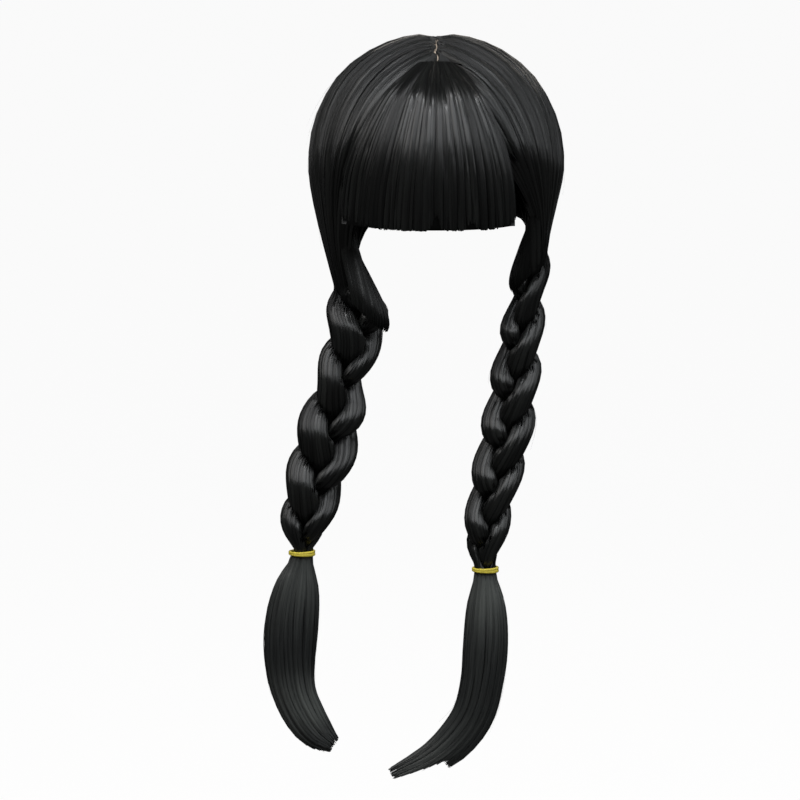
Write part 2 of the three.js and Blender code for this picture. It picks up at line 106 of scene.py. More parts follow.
# The blunt cut of the fringe: the share of its width from the left of the picture, and how far the cut lies
# below its even line, in metres
FRINGE_CUT = [
    {"share": 0, "drop": -0.004},
    {"share": 0.12, "drop": -0.001},
    {"share": 0.34, "drop": 0.003},
    {"share": 0.47, "drop": 0.001},
    {"share": 0.505, "drop": -0.010},
    {"share": 0.53, "drop": 0.0},
    {"share": 0.66, "drop": 0.001},
    {"share": 0.69, "drop": -0.004},
    {"share": 0.76, "drop": 0.003},
    {"share": 0.9, "drop": 0.0},
    {"share": 1, "drop": -0.004},
]


# Settings


def length(name, description, default):
    return FloatProperty(name=name, description=description, default=default, unit="LENGTH", precision=4)


def turn(name, description, degrees):
    return FloatProperty(name=name, description=description, default=math.radians(degrees), subtype="ANGLE")


def ratio(name, description, default):
    return FloatProperty(name=name, description=description, default=default)


def number(name, description, default):
    return IntProperty(name=name, description=description, default=default, min=1)


def colour(name, description, default):
    return FloatVectorProperty(
        name=name, description=description, default=default, subtype="COLOR", size=3, min=0, max=1
    )


class HeadSettings(bpy.types.PropertyGroup):
    """The head space, the cap and the thickness of the hair on it"""

    half_width: length("Half width", "Half width of the head space", 0.080)
    half_depth: length("Half depth", "Half depth of the head space", 0.098)
    crown_height: length("Crown height", "From the inside top down to the widest level", 0.100)
    lower_reach: length("Lower reach", "Half height of the head space below the widest level", 0.120)
    cap_wall: length("Cap wall", "Thickness of the cap", 0.002)
    cap_hairline: ratio("Hairline", "Height of the cap's front edge, as a sine", 0.5)
    cap_over_ears: ratio("Over the ears", "Height of the cap's side edge, as a sine", -0.08)
    cap_nape: ratio("Nape", "Height of the cap's back edge, as a sine", -0.41)
    seat_gap: length("Seat gap", "Clearance between the cap and the strip", 0.0003)
    hair_seat_gap: length("Hair seat gap", "Clearance between the cap and the hair", 0.0012)
    top_hair: length("Top hair", "Thickness of the hair on top", 0.008)
    parting_hair: length("Parting hair", "Thickness of the hair at the parting", 0.0032)
    side_hair: length("Side hair", "Thickness of the hair at the sides", 0.0215)
    front_hair: length("Front hair", "Thickness of the hair at the front", 0.014)
    back_hair: length("Back hair", "Thickness of the hair at the back", 0.018)
    full_hair_at: ratio(
        "Full hair at", "Share of a lock's travel at which the hair is at its full thickness", 0.36
    )
    hair_lower_reach: length("Hair lower reach", "Half height of the hair below the widest level", 0.150)
    parting_half_gap: length("Parting half gap", "Half the width of the open parting", 0.0008)
    parting_dip: length("Parting dip", "How far the hair sinks towards the parting", 0.0024)
    dip_half_width: length("Dip half width", "Half width of the dip along the parting", 0.009)
    parting_wobble: length("Parting wobble", "How far the parting strays to either side", 0.0010)
    parting_wave: length("Parting wave", "Length of one bend of the parting", 0.017)
    parting_cover: length("Parting cover", "How far the halves lap over each other behind the strip", 0.002)
    parting_front: turn("Parting front", "Where the fringe springs, before the top", 33.5)
    strip_back: turn("Strip back", "Where the bare strip ends, behind the top", 14)
    strip_width: length("Strip width", "Width of the bare strip", 0.005)
    strip_thickness: length("Strip thickness", "Thickness of the bare strip", 0.0011)
    temple_rise: length("Temple rise", "Where the front edge leaves the head, over the widest level", 0.026)
    nape_turn: turn("Nape turn", "Where the nape edge leaves the head, behind the side", 66)
    nape_drop: length("Nape drop", "Where the nape edge leaves the head, below the widest level", 0.054)
    leaves_at: ratio("Leaves at", "Share of a lock's travel that lies on the head", 0.62)
    bundle_edge: turn("Bundle edge", "Kept between the faces of the gathered hair", 14)


class FringeSettings(bpy.types.PropertyGroup):
    """The fringe"""

    thickness: length("Thickness", "Thickness of the fringe", 0.013)
    tip_thickness: length("Tip thickness", "Thickness at the cut edge", 0.008)
    root_thickness: length("Root thickness", "Thickness at the parting", 0.003)
    stand_off: length("Stand-off", "How far the fringe stands proud of the side hair", 0.003)
    edge_thinning: ratio("Edge thinning", "Share of its thickness lost at the sides", 0.6)
    root_half_width: length("Root half width", "Half width at the parting", 0.013)
    left_turn: turn("Left turn", "Half width at the cut edge, to the left", 51)
    right_turn: turn("Right turn", "Half width at the cut edge, to the right", 40.5)
    drop: length("Drop", "Cut edge below the widest level", 0.041)


class LeftPlaitSettings(bpy.types.PropertyGroup):
    """The plait and tail on the left of the picture"""

    temple_turn: turn("Temple turn", "Where the front edge leaves the head, before the side", 56)
    root_out: length("Root out", "Top of the plait from the middle", 0.0695)
    root_drop: length("Root drop", "Top of the plait below the origin", 0.201)
    root_lean: ratio("Root lean", "Lean to the middle at the top of the plait", 0.28)
    tie_out: length("Tie out", "Tie from the middle", 0.1115)
    tie_drop: length("Tie drop", "Tie below the origin", 0.428)
    half_width: length("Half width", "Half width of the plait", 0.028)
    half_depth: length("Half depth", "Half depth of the plait", 0.0165)
    crossings: ratio("Crossings", "Crossings of each strand", 5.13)
    first_crossing: turn("First crossing", "Round already made at the top", 13)
    top_turn: turn("Top turn", "Turn of the plait to the front at its top", 23)
    low_turn: turn("Low turn", "Turn of the plait to the front lower down", 2)
    tail_drop: length("Tail drop", "Length of the tail", 0.163)
    tail_thinning: ratio("Tail thinning", "Share of its length over which the tail thins out", 0.06)
    tail_step: ratio("Tail step", "How much sooner the locks on its outer side end", 0)
    tail_reach: length("Tail reach", "How far the tail swings out", 0.029)
    tail_half_width: length("Tail half width", "Half width of the tail", 0.021)
    tail_half_depth: length("Tail half depth", "Half depth of the tail", 0.0115)
    cover_locks: number("Cover locks", "Locks that run on over the top of the plait", 130)
    cover_drop: length("Cover drop", "Where they end, below the origin", 0.242)
    cover_depth: length("Cover depth", "How far they stand before the plait's middle", 0.0225)
    cover_outer: length("Cover outer end", "Their outer edge at the end, from the middle", 0.068)
    cover_inner: length("Cover inner end", "Their inner edge at the end, from the middle", 0.0405)


class RightPlaitSettings(bpy.types.PropertyGroup):
    """The plait and tail on the right of the picture"""

    temple_turn: turn("Temple turn", "Where the front edge leaves the head, before the side", 57)
    root_out: length("Root out", "Top of the plait from the middle", 0.0825)
    root_drop: length("Root drop", "Top of the plait below the origin", 0.170)
    root_lean: ratio("Root lean", "Lean to the middle at the top of the plait", 0.1)
    tie_out: length("Tie out", "Tie from the middle", 0.0415)
    tie_drop: length("Tie drop", "Tie below the origin", 0.442)
    half_width: length("Half width", "Half width of the plait", 0.0217)
    half_depth: length("Half depth", "Half depth of the plait", 0.015)
    crossings: ratio("Crossings", "Crossings of each strand", 6.59)
    first_crossing: turn("First crossing", "Round already made at the top", -3)
    top_turn: turn("Top turn", "Turn of the plait to the front at its top", 33)
    low_turn: turn("Low turn", "Turn of the plait to the front lower down", -5)
    tail_drop: length("Tail drop", "Length of the tail", 0.176)
    tail_thinning: ratio("Tail thinning", "Share of its length over which the tail thins out", 0.07)
    tail_step: ratio("Tail step", "How much sooner the locks on its outer side end", 0.11)
    tail_reach: length("Tail reach", "How far the tail swings out", 0.078)
    tail_half_width: length("Tail half width", "Half width of the tail", 0.0175)
    tail_half_depth: length("Tail half depth", "Half depth of the tail", 0.0105)
    cover_locks: number("Cover locks", "Locks that run on over the top of the plait", 90)
    cover_drop: length("Cover drop", "Where they end, below the origin", 0.209)
    cover_depth: length("Cover depth", "How far they stand before the plait's middle", 0.0185)
    cover_outer: length("Cover outer end", "Their outer edge at the end, from the middle", 0.084)
    cover_inner: length("Cover inner end", "Their inner edge at the end, from the middle", 0.063)


class BraidSettings(bpy.types.PropertyGroup):
    """What both plaits and both ties share"""

    strand_gap: length("Strand gap", "Clearance between strands", 0.0002)
    strand_across: ratio("Strand swing", "Swing of a strand, a share of the half width", 0.47)
    strand_deep: ratio("Strand depth", "Swing to front and back, a share of the half depth", 0.45)
    strand_own_width: ratio("Strand own width", "Half width of a strand, a share of the plait's", 0.55)
    strand_own_depth: ratio("Strand own depth", "Half depth of a strand, a share of the plait's", 0.74)
    strand_hurry: turn("Strand hurry", "How far a strand runs ahead or behind on its way round", 14)
    strand_press: ratio("Strand press", "Low for a rounder strand, high for a squarer one", 4)
    tie_wall: length("Tie wall", "Thickness of the elastic", 0.0013)
    tie_grip: length("Tie grip", "Length of the even neck each side of the tie", 0.005)


class LockSettings(bpy.types.PropertyGroup):
    """How the hair is split into locks"""

    crown_locks: number("Crown locks", "Locks on each side of the crown", 1000)
    fringe_locks: number("Fringe locks", "Locks in the fringe", 1000)
    strand_locks: number("Plait locks", "Locks on each strand of a plait", 110)
    tail_locks: number("Tail locks", "Locks in each tail", 520)
    stray_hairs: number("Stray hairs", "Loose single hairs on each part of the wig", 45)
    seed: number("Seed", "Seed of the scatter", 7)


class FinishSettings(bpy.types.PropertyGroup):
    """Colours and gloss"""

    # Mixed by the tone and the fibre streaks: the dark colour also gives the painted shade between and under
    # the locks, and the light colour, made paler on the tails, their painted sheen.
    hair_dark_and_painted_shade: colour("Hair, dark", "Colour of the darker fibres", (0.0008, 0.0009, 0.0010))
    hair_light_and_painted_sheen: colour("Hair, light", "Colour of the lighter fibres", (0.015, 0.016, 0.015))
    gloss: ratio("Roughness", "Roughness of the hair on top of a lock", 0.27)
    deep_roughness: ratio("Deep roughness", "Roughness of the hair between locks", 0.6)
    net: colour("Net", "Colour of the cap", (0.008, 0.008, 0.009))
    skin: colour("Parting", "Colour of the bare strip", (0.66, 0.54, 0.43))
    elastic: colour("Elastic", "Colour of the ties", (0.85, 0.70, 0.075))


class StageSettings(bpy.types.PropertyGroup):
    """Camera, floor and light"""

    look_at: FloatVectorProperty(
        name="Look at",
        description="Point in the picture's middle",
        default=(-0.0297, 0, -0.2978),
        unit="LENGTH",
    )
    distance: length("Distance", "Camera to the picture's middle", 5.0)
    elevation: turn("Elevation", "Camera above the level", 9)
    lens: FloatProperty(name="Lens", description="Focal length in millimetres", default=270.8, unit="CAMERA")
    floor_drop: length("Floor drop", "Floor below the origin", 0.85)
    world_light: ratio("World light", "Strength of the even light", 0.07)


class WigSettings(bpy.types.PropertyGroup):
    """All settings of the wig"""

    head: PointerProperty(type=HeadSettings)
    fringe: PointerProperty(type=FringeSettings)
    left: PointerProperty(type=LeftPlaitSettings)
    right: PointerProperty(type=RightPlaitSettings)
    braid: PointerProperty(type=BraidSettings)
    locks: PointerProperty(type=LockSettings)
    finish: PointerProperty(type=FinishSettings)
    stage: PointerProperty(type=StageSettings)


# Small mathematics on arrays of points


def mix(a, b, share):
    return a + (b - a) * share


def smooth(value, low, high):
    u = np.clip((value - low) / (high - low), 0, 1)
    return u * u * (3 - 2 * u)


def unit(vectors):
    return vectors / np.maximum(np.linalg.norm(vectors, axis=-1, keepdims=True), 1e-12)


def points(x, y, z):
    return np.stack(np.broadcast_arrays(x, y, z), axis=-1).astype(float)


def column(rows, name, share):
    """A smooth curve through one column of a table, read at each share."""
    at = np.array([row["share"] for row in rows], float)
    value = np.array([row[name] for row in rows], float)
    before = np.r_[0, np.arange(len(rows) - 1)]
    after = np.r_[np.arange(1, len(rows)), len(rows) - 1]
    slope = (value[after] - value[before]) / (at[after] - at[before])
    share = np.clip(share, 0, 1)
    i = np.clip(np.searchsorted(at, share) - 1, 0, len(rows) - 2)
    span = at[i + 1] - at[i]
    u = (share - at[i]) / span
    ease = u * u * (3 - 2 * u)
    leaving = u * (1 - u) ** 2 * span * slope[i]
    arriving = u * u * (1 - u) * span * slope[i + 1]
    return mix(value[i], value[i + 1], ease) + leaving - arriving


class Waves:
    """A smooth random value over a surface's two shares, about -1 to 1."""

    def __init__(self, rng, across, along, count=7):
        self.across = np.round(rng.uniform(-across, across, count))
        self.along = rng.uniform(-along, along, count)
        self.phase = rng.uniform(0, FULL_TURN, count)

    def __call__(self, around, travel):
        total = 0
        for across, along, phase in zip(self.across, self.along, self.phase):
            total = total + np.sin(FULL_TURN * (across * around + along * travel) + phase)
        return total / math.sqrt(len(self.phase))


# The forms that the hair follows

Shape = namedtuple("Shape", "width front back top low")


def grown(shape, by):
    return Shape(*(axis + by for axis in shape))


def head_space(head):
    return Shape(head.half_width, head.half_depth, head.half_depth, head.crown_height, head.lower_reach)


def seat_shape(head):
    return grown(head_space(head), head.cap_wall + head.hair_seat_gap)


def hair_shape(head):
    seat = seat_shape(head)
    return Shape(
        seat.width + head.side_hair,
        seat.front + head.front_hair,
        seat.back + head.back_hair,
        seat.top + head.top_hair,
        head.hair_lower_reach,
    )


def on_shape(head, shape, direction):
    """The points of an ellipsoid shape in directions from the head's middle."""
    x, y, z = np.moveaxis(direction, -1, 0)
    return points(
        x * shape.width,
        y * np.where(y < 0, shape.front, shape.back),
        z * np.where(z < 0, shape.low, shape.top) - head.crown_height,
    )


def direction_at(side, angle, rise):
    """A direction by its turn from the side, to the front below zero, and its height as a sine."""
    level = np.sqrt(1 - rise**2)
    return points(side * level * np.cos(angle), level * np.sin(angle), rise)


def direction_between(start, end, share):
    share = np.asarray(share)[..., None]
    angle = np.arccos(np.clip(np.sum(start * end, axis=-1, keepdims=True), -1, 1))
    return unit(start * np.sin((1 - share) * angle) + end * np.sin(share * angle))


def hermite(start, leaving, end, arriving, u):
    ease = u * u * (3 - 2 * u)
    return mix(start, end, ease) + leaving * u * (1 - u) ** 2 - arriving * u * u * (1 - u)


def plait_size(plait, braid, share):
    neck_from = 1 - braid.tie_grip / (plait.tie_drop - plait.root_drop)
    at = np.minimum(1, share / neck_from)
    width = plait.half_width * column(plait_rows(plait), "width", at)
    return width, plait.half_depth * column(plait_rows(plait), "depth", at)


def plait_rows(plait):
    return LEFT_PLAIT_SECTIONS if side_of(plait) < 0 else RIGHT_PLAIT_SECTIONS


def tail_rows(plait):
    return LEFT_TAIL_SECTIONS if side_of(plait) < 0 else RIGHT_TAIL_SECTIONS


def side_of(plait):
    return -1 if isinstance(plait, LeftPlaitSettings) else 1


def fringe_edge(wig, across):
    """The two ends of the line that a lock of the fringe follows, for places from -1 to 1 across it."""
    head, fringe = wig.head, wig.fringe
    root = fringe.root_half_width / head.half_width
    start = unit(points(across * root, -math.sin(head.parting_front), math.cos(head.parting_front)))
    angle = across * np.where(across < 0, fringe.left_turn, fringe.right_turn) - math.pi / 2
    return start, direction_at(1, angle, -fringe.drop / head.hair_lower_reach)


def fringe_surface(wig):
    """The closed form of the fringe: around over its outer and then its inner face, and travel down it."""
    head, fringe = wig.head, wig.fringe
    seat = seat_shape(head)

    def surface(around, travel):
        around = np.mod(around, 1)
        outer = around < 0.5
        across = np.where(outer, mix(-1, 1, around * 2), mix(1, -1, around * 2 - 1))
        edge = across**4
        start, end = fringe_edge(wig, across)
        direction = direction_between(start, end, travel)
        proud = (fringe.stand_off * (1 - edge))[..., None]
        face = on_shape(head, hair_shape(head), direction) + direction * proud
        root = on_shape(head, grown(seat, head.parting_hair + fringe.root_thickness), direction)
        face = mix(root, face, smooth(travel, 0, 0.3)[..., None])
        body = mix(fringe.root_thickness, fringe.thickness, smooth(travel, 0, 0.5))
        body = mix(body, fringe.tip_thickness, smooth(travel, 0.7, 1))
        body = body * (1 - fringe.edge_thinning * edge) * np.sqrt(np.clip(1 - across**12, 0.02, 1))
        return face - direction * np.where(outer, 0, body)[..., None]

    return surface


def under_fringe(wig, place):
    """How far inside the fringe's side edges a place on the head lies, as a smooth 0 to 1."""
    head = wig.head
    direction = unit(place + np.array([0, 0, head.crown_height]))
    inside = 1
    for across in (-1.0, 1.0):
        start, end = fringe_edge(wig, np.array(across))
        plane = unit(np.cross(start, end)) * across
        inside = inside * smooth(-(direction @ plane) * head.half_depth, -0.004, 0.007)
    low = -head.crown_height - wig.fringe.drop
    front = smooth(-place[..., 1], 0, 0.02)
    return inside * front * smooth(place[..., 2], low - 0.03, low + 0.01)


def parting_line(head, place):
    """How far the parting has strayed to the side, and how far the halves lap over each other, by place."""
    y = place[..., 1]
    stray = head.parting_wobble * np.sin(FULL_TURN * y / head.parting_wave)
    stray = stray + head.parting_wobble * 0.6 * np.sin(FULL_TURN * y / (head.parting_wave * 0.37))
    strip_end = (head.crown_height + head.cap_wall) * math.sin(head.strip_back)
    lap = head.parting_cover * smooth(y, strip_end - 0.012, strip_end)
    return stray, lap


FRINGE_SINK = 0.0075  # how far the crown hair lies lower under the fringe


def crown_point(wig, plait, share, travel, outer):
    """Points of one half of the crown hair: share from the front edge to the nape, travel from the parting
    to the top of the plait, on the outer or the inner face."""
    head, braid = wig.head, wig.braid
    side = side_of(plait)
    seat = seat_shape(head)
    hair = hair_shape(head)
    shape = hair if outer else seat
    share, travel = np.broadcast_arrays(share, travel)
    share = np.clip(share, 0, 1)

    nape_angle = math.pi / 2 + math.asin(head.nape_drop / head.hair_lower_reach)
    angle = mix(-head.parting_front, nape_angle, share)
    start = points(0, np.sin(angle), np.cos(angle))
    drop = mix(-head.temple_rise, head.nape_drop, share**1.3)
    rise = -drop / np.where(drop < 0, hair.top, head.hair_lower_reach)
    end = direction_at(side, mix(-plait.temple_turn, head.nape_turn, share), rise)

    def on_head(reach):
        direction = direction_between(start, end, reach / head.leaves_at)
        place = on_shape(head, shape, direction)
        if outer:
            root = on_shape(head, grown(seat, head.parting_hair), direction)
            place = mix(root, place, smooth(reach, -0.06, head.full_hair_at)[..., None])
        out = np.abs(place[..., 0])
        if outer:
            place[..., 2] -= head.parting_dip * np.exp(-((out / head.dip_half_width) ** 2))
        stray, lap = parting_line(head, place)
        near_line = 1 - smooth(out, 0.002, 0.03)
        place[..., 0] = side * (np.maximum(head.parting_half_gap, out) - lap * near_line) + stray * near_line
        return place

    on = on_head(np.minimum(travel, head.leaves_at))
    leave = on_head(np.full(travel.shape, head.leaves_at))
    before = on_head(np.full(travel.shape, head.leaves_at - 0.02))
    half_width, half_depth = plait_size(plait, braid, 0)
    at = mix(head.bundle_edge, math.pi - head.bundle_edge, share)
    outward = (1 if outer else -1) * np.sin(at) * half_width
    bundle = points(side * (plait.root_out + outward), -np.cos(at) * half_depth, -plait.root_drop)
    reach = np.linalg.norm(bundle - leave, axis=-1, keepdims=True)
    leaving = unit(leave - before) * reach * 0.5
    arriving = unit(np.array([-side * plait.root_lean, 0, -1.0])) * reach * 0.9
    u = np.clip((travel - head.leaves_at) / (1 - head.leaves_at), 0, 1)[..., None]
    hanging = hermite(leave, leaving, bundle, arriving, u)
    place = np.where((travel <= head.leaves_at)[..., None], on, hanging)
    if outer:
        sunk = under_fringe(wig, place) * FRINGE_SINK
        place = place - unit(place + np.array([0, 0, head.crown_height])) * sunk[..., None]
    return place


OUTER_FACE = 0.60
BACK_EDGE = 0.64
INNER_FACE = 0.95


def crown_surface(wig, plait):
    """The closed form of one half of the crown hair: around over the outer face, the nape edge, the inner
    face and the front edge, and travel down it."""

    def surface(around, travel):
        around, travel = np.broadcast_arrays(np.mod(around, 1), travel)
        share = np.select(
            [around < OUTER_FACE, around < BACK_EDGE, around < INNER_FACE],
            [around / OUTER_FACE, 1.0, 1 - (around - BACK_EDGE) / (INNER_FACE - BACK_EDGE)],
            0.0,
        )
        inward = np.select(
            [around < OUTER_FACE, around < BACK_EDGE, around < INNER_FACE],
            [0.0, (around - OUTER_FACE) / (BACK_EDGE - OUTER_FACE), 1.0],
            1 - (around - INNER_FACE) / (1 - INNER_FACE),
        )
        outer = crown_point(wig, plait, share, travel, True)
        inner = crown_point(wig, plait, share, travel, False)
        return mix(outer, inner, inward[..., None])

    return surface


def plait_middle(wig, plait, share):
    straight = mix(plait.root_out, plait.tie_out, share)
    out = straight + plait.half_width * column(plait_rows(plait), "bow", share)
    drop = mix(plait.root_drop + wig.head.seat_gap, plait.tie_drop, share)
    return out, drop


def strand_surface(wig, plait, strand):
    """The closed form of one strand of a plait: an oval that its neighbours flatten where they press."""
    braid = wig.braid
    side = side_of(plait)

    def middles(share):
        width, depth = plait_size(plait, braid, share)
        advance = plait.crossings / 3 * FULL_TURN * share
        rounds = [plait.first_crossing + advance - i * FULL_TURN / 3 for i in range(3)]
        angles = [a + braid.strand_hurry * np.sin(a) for a in rounds]
        across, deep = braid.strand_across * width, braid.strand_deep * depth
        return [(across * np.sin(a), deep * np.sin(2 * a)) for a in angles]

    def surface(around, travel):
        around, share = np.broadcast_arrays(around, np.clip(travel, 0, 1))
        width, depth = plait_size(plait, braid, share)
        angle = around * FULL_TURN
        ray_x, ray_y = np.cos(angle), np.sin(angle)
        places = middles(share)
        own_x, own_y = places[strand]
        own = 1 / np.hypot(
            ray_x / (braid.strand_own_width * width), ray_y / (braid.strand_own_depth * depth)
        )
        slack = mix(1.25, 1, smooth(share, 0.8, 0.96))
        start_x, start_y = own_x / (slack * width), own_y / (slack * depth)
        step_x, step_y = ray_x / (slack * width), ray_y / (slack * depth)
        a = step_x**2 + step_y**2
        b = start_x * step_x + start_y * step_y
        c = start_x**2 + start_y**2 - 1
        envelope = (-b + np.sqrt(np.maximum(b * b - a * c, 0))) / a
        total = own**-braid.strand_press + envelope**-braid.strand_press
        for i, (x, y) in enumerate(places):
            if i == strand:
                continue
            apart_x, apart_y = x - own_x, y - own_y
            distance = np.hypot(apart_x, apart_y)
            towards = (ray_x * apart_x + ray_y * apart_y) / distance
            limit = (distance - braid.strand_gap) / 2 / np.maximum(towards, 1e-6)
            total = total + np.where(towards > 0, limit, np.inf) ** -braid.strand_press
        reach = total ** (-1 / braid.strand_press)
        x, y = own_x + ray_x * reach, own_y + ray_y * reach
        turned = -mix(plait.top_turn, plait.low_turn, share) * (1 - smooth(share, 0.8, 0.97))
        out, drop = plait_middle(wig, plait, share)
        turned_x = x * np.cos(turned) - y * np.sin(turned)
        turned_y = x * np.sin(turned) + y * np.cos(turned)
        return points(side * (out + turned_x), turned_y, -drop)

    return surface


def tail_frame(wig, plait, share):
    """The middle, the lean and the half width and half depth of a tail at each share."""
    rows = tail_rows(plait)
    neck_to = wig.braid.tie_grip / plait.tail_drop

    def middle(at):
        out = plait.tie_out + plait.tail_reach * column(rows, "out", at)
        drop = plait.tie_drop + wig.head.seat_gap + plait.tail_drop * np.clip(at, 0, 1)
        return points(side_of(plait) * out, 0, -drop)

    near = 0.01
    ahead, behind = middle(np.minimum(1, share + near)), middle(np.maximum(0, share - near))
    at = np.maximum(0, (share - neck_to) / (1 - neck_to))
    lean = np.arctan2(ahead[..., 0] - behind[..., 0], behind[..., 2] - ahead[..., 2]) * smooth(at, 0, 0.1)
    width = plait.tail_half_width * column(rows, "width", at)
    return middle(share), lean, width, plait.tail_half_depth * column(rows, "depth", at)


def tail_surface(wig, plait, scale=1.0, end=1.0):
    """The closed form of a tail, an oval that follows its own curve. A scale makes it thinner and an end
    shorter."""

    def surface(around, travel):
        around, travel = np.broadcast_arrays(around, travel * end)
        middle, lean, width, depth = tail_frame(wig, plait, travel)
        angle = around * FULL_TURN
        across = np.cos(angle) * width * scale
        through = np.sin(angle) * depth * scale
        return middle + points(across * np.cos(lean), through, across * np.sin(lean))

    return surface


# Meshes


def add_piece(mesh, *materials, slot=None, replaces=()):
    """Shows a mesh as a piece of the wig that rides on its one body."""
    piece = bpy.data.objects.new(mesh.name, mesh)
    bpy.context.scene.collection.objects.link(piece)
    for material in materials:
        mesh.materials.append(material)
    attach(piece, "root")
    if replaces:
        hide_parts(*replaces)
    return piece


def signed_volume(co, corners):
    """The volume of a mesh of triangles, below zero where its faces point inwards."""
    a, b, c = (co[corners[:, k]] for k in range(3))
    return float(np.sum(a * np.cross(b, c)) / 6)


def turn_outwards(mesh):
    mesh.calc_loop_triangles()
    co = np.empty(len(mesh.vertices) * 3)
    mesh.vertices.foreach_get("co", co)
    corners = np.empty(len(mesh.loop_triangles) * 3, int)
    mesh.loop_triangles.foreach_get("vertices", corners)
    if signed_volume(co.reshape(-1, 3), corners.reshape(-1, 3)) < 0:
        mesh.flip_normals()


def map_shares(bm):
    """A UV map that holds a grid's two shares, made before its points are moved."""
    uv = bm.loops.layers.uv.new("fibres")
    for face in bm.faces:
        for loop in face.loops:
            loop[uv].uv = loop.vert.co.xy


def finished_mesh(name, bm):
    mesh = bpy.data.meshes.new(name)
    bm.to_mesh(mesh)
    bm.free()
    turn_outwards(mesh)
    mesh.shade_smooth()
    return mesh


def tube(name, sides, steps, surface, poles=False):
    """A closed tube over a surface's two shares, made from a grid that is rolled up and merged along its
    seam. Its ends are filled, or drawn in to a pole. Its UV map holds the two shares."""
    bm = bmesh.new()
    bmesh.ops.create_grid(bm, x_segments=sides, y_segments=steps, size=0.5)
    bmesh.ops.translate(bm, verts=bm.verts, vec=(0.5, 0.5, 0))
    map_shares(bm)
    shares = np.array([vert.co.xy for vert in bm.verts])
    for vert, place in zip(bm.verts, surface(shares[:, 0], shares[:, 1])):
        vert.co = place
    bmesh.ops.remove_doubles(bm, verts=bm.verts, dist=1e-6)
    if not poles:
        ends = [edge for edge in bm.edges if edge.is_boundary]
        bmesh.ops.holes_fill(bm, edges=ends, sides=0)
    return finished_mesh(name, bm)


SHELL_GAP = 0.01  # between the two grids of a shell, before its points are moved


def shell(name, columns, steps, surface):
    """A closed sheet over a surface's two shares: a grid for its outer face and one for its inner face,
    bridged round their edges. The surface also takes 1 for the outer or 0 for the inner face."""
    bm = bmesh.new()
    for level in (0, 1):
        bmesh.ops.create_grid(
            bm,
            x_segments=columns,
            y_segments=steps,
            size=0.5,
            matrix=Matrix.Translation((0.5, 0.5, level * SHELL_GAP)),
        )
    bmesh.ops.bridge_loops(bm, edges=[edge for edge in bm.edges if edge.is_boundary])
    bmesh.ops.recalc_face_normals(bm, faces=bm.faces)
    map_shares(bm)
    shares = np.array([vert.co for vert in bm.verts])
    for vert, place in zip(bm.verts, surface(shares[:, 0], shares[:, 1], shares[:, 2] / SHELL_GAP)):
        vert.co = place
    return finished_mesh(name, bm)


LOCK_SIDES = 3
LOCK_RISE = 0.34  # of its half width, the middle of a lock over its edges
LOCK_ROUNDING = 0.4  # how far its shading turns to the sides at its edges


def joined_locks(name, paths, half_width):
    """Many thin closed locks as one mesh, on the paths' middle lines. half_width holds one for each step."""
    locks, steps, _ = paths.place.shape
    lateral = paths.lateral * half_width[..., None]
    upward = paths.normal * half_width[..., None] * LOCK_RISE
    edge = paths.place - upward * 0.3
    ring = np.stack((edge - lateral, paths.place + upward, edge + lateral), axis=2)
    co = ring.reshape(-1, 3)
    first = (np.arange(locks) * steps * LOCK_SIDES)[:, None, None]
    row = (np.arange(steps - 1) * LOCK_SIDES)[None, :, None]
    corner = np.arange(LOCK_SIDES)[None, None, :]
    near = first + row + corner
    far = first + row + (corner + 1) % LOCK_SIDES
    sides = np.stack((near, far, far + LOCK_SIDES, near + LOCK_SIDES), axis=-1).reshape(-1, 4)
    start = first[:, 0] + np.array([[2, 1, 0]])
    end = first[:, 0] + (steps - 1) * LOCK_SIDES + np.array([[0, 1, 2]])
    caps = np.concatenate((start, end))

    mesh = bpy.data.meshes.new(name)
    mesh.vertices.add(len(co))
    mesh.vertices.foreach_set("co", co.ravel())
    corners = np.concatenate((sides.ravel(), caps.ravel()))
    mesh.loops.add(len(corners))
    mesh.loops.foreach_set("vertex_index", corners)
    mesh.polygons.add(len(sides) + len(caps))
    starts = np.concatenate((np.arange(len(sides)) * 4, len(sides) * 4 + np.arange(len(caps)) * 3))
    mesh.polygons.foreach_set("loop_start", starts)
    mesh.update(calc_edges=True)

    along = np.linalg.norm(np.diff(paths.place, axis=1, prepend=paths.place[:, :1]), axis=-1).cumsum(axis=1)
    offset = np.arange(locks) * 0.37
    across = offset[:, None, None] + half_width[..., None] * np.array([-1, 0, 1])
    down = np.broadcast_to((along + offset[:, None] * 1.7)[..., None], across.shape)
    map_points = np.stack((across, down), axis=-1).reshape(-1, 2)
    uv = mesh.uv_layers.new(name="fibres")
    uv.uv.foreach_set("vector", map_points[corners].ravel())
    # The tone, painted shade and painted sheen with a random share, goes on each point for the material.
    shade = mesh.attributes.new("tone", "FLOAT", "POINT")
    shade.data.foreach_set("value", np.repeat(paths.tone, LOCK_SIDES))
    turn_outwards(mesh)
    mesh.shade_smooth()
    turned = paths.lateral * LOCK_ROUNDING
    normals = np.stack((paths.normal - turned, paths.normal, paths.normal + turned), axis=2)
    mesh.normals_split_custom_set_from_vertices(unit(normals).reshape(-1, 3))
    return mesh


def add_locks(name, paths, half_width, material="hair locks"):
    add_piece(joined_locks(name, paths, half_width), shared_material(material), slot="hair")


def add_body(mesh, node):
    """Shows the body under the locks, in the place of a solid; its colour is dimmed as painted shade in the
    gaps between the locks.
    """
    add_piece(mesh, shared_material("hair body painted shade"), slot="hair", replaces=[node])


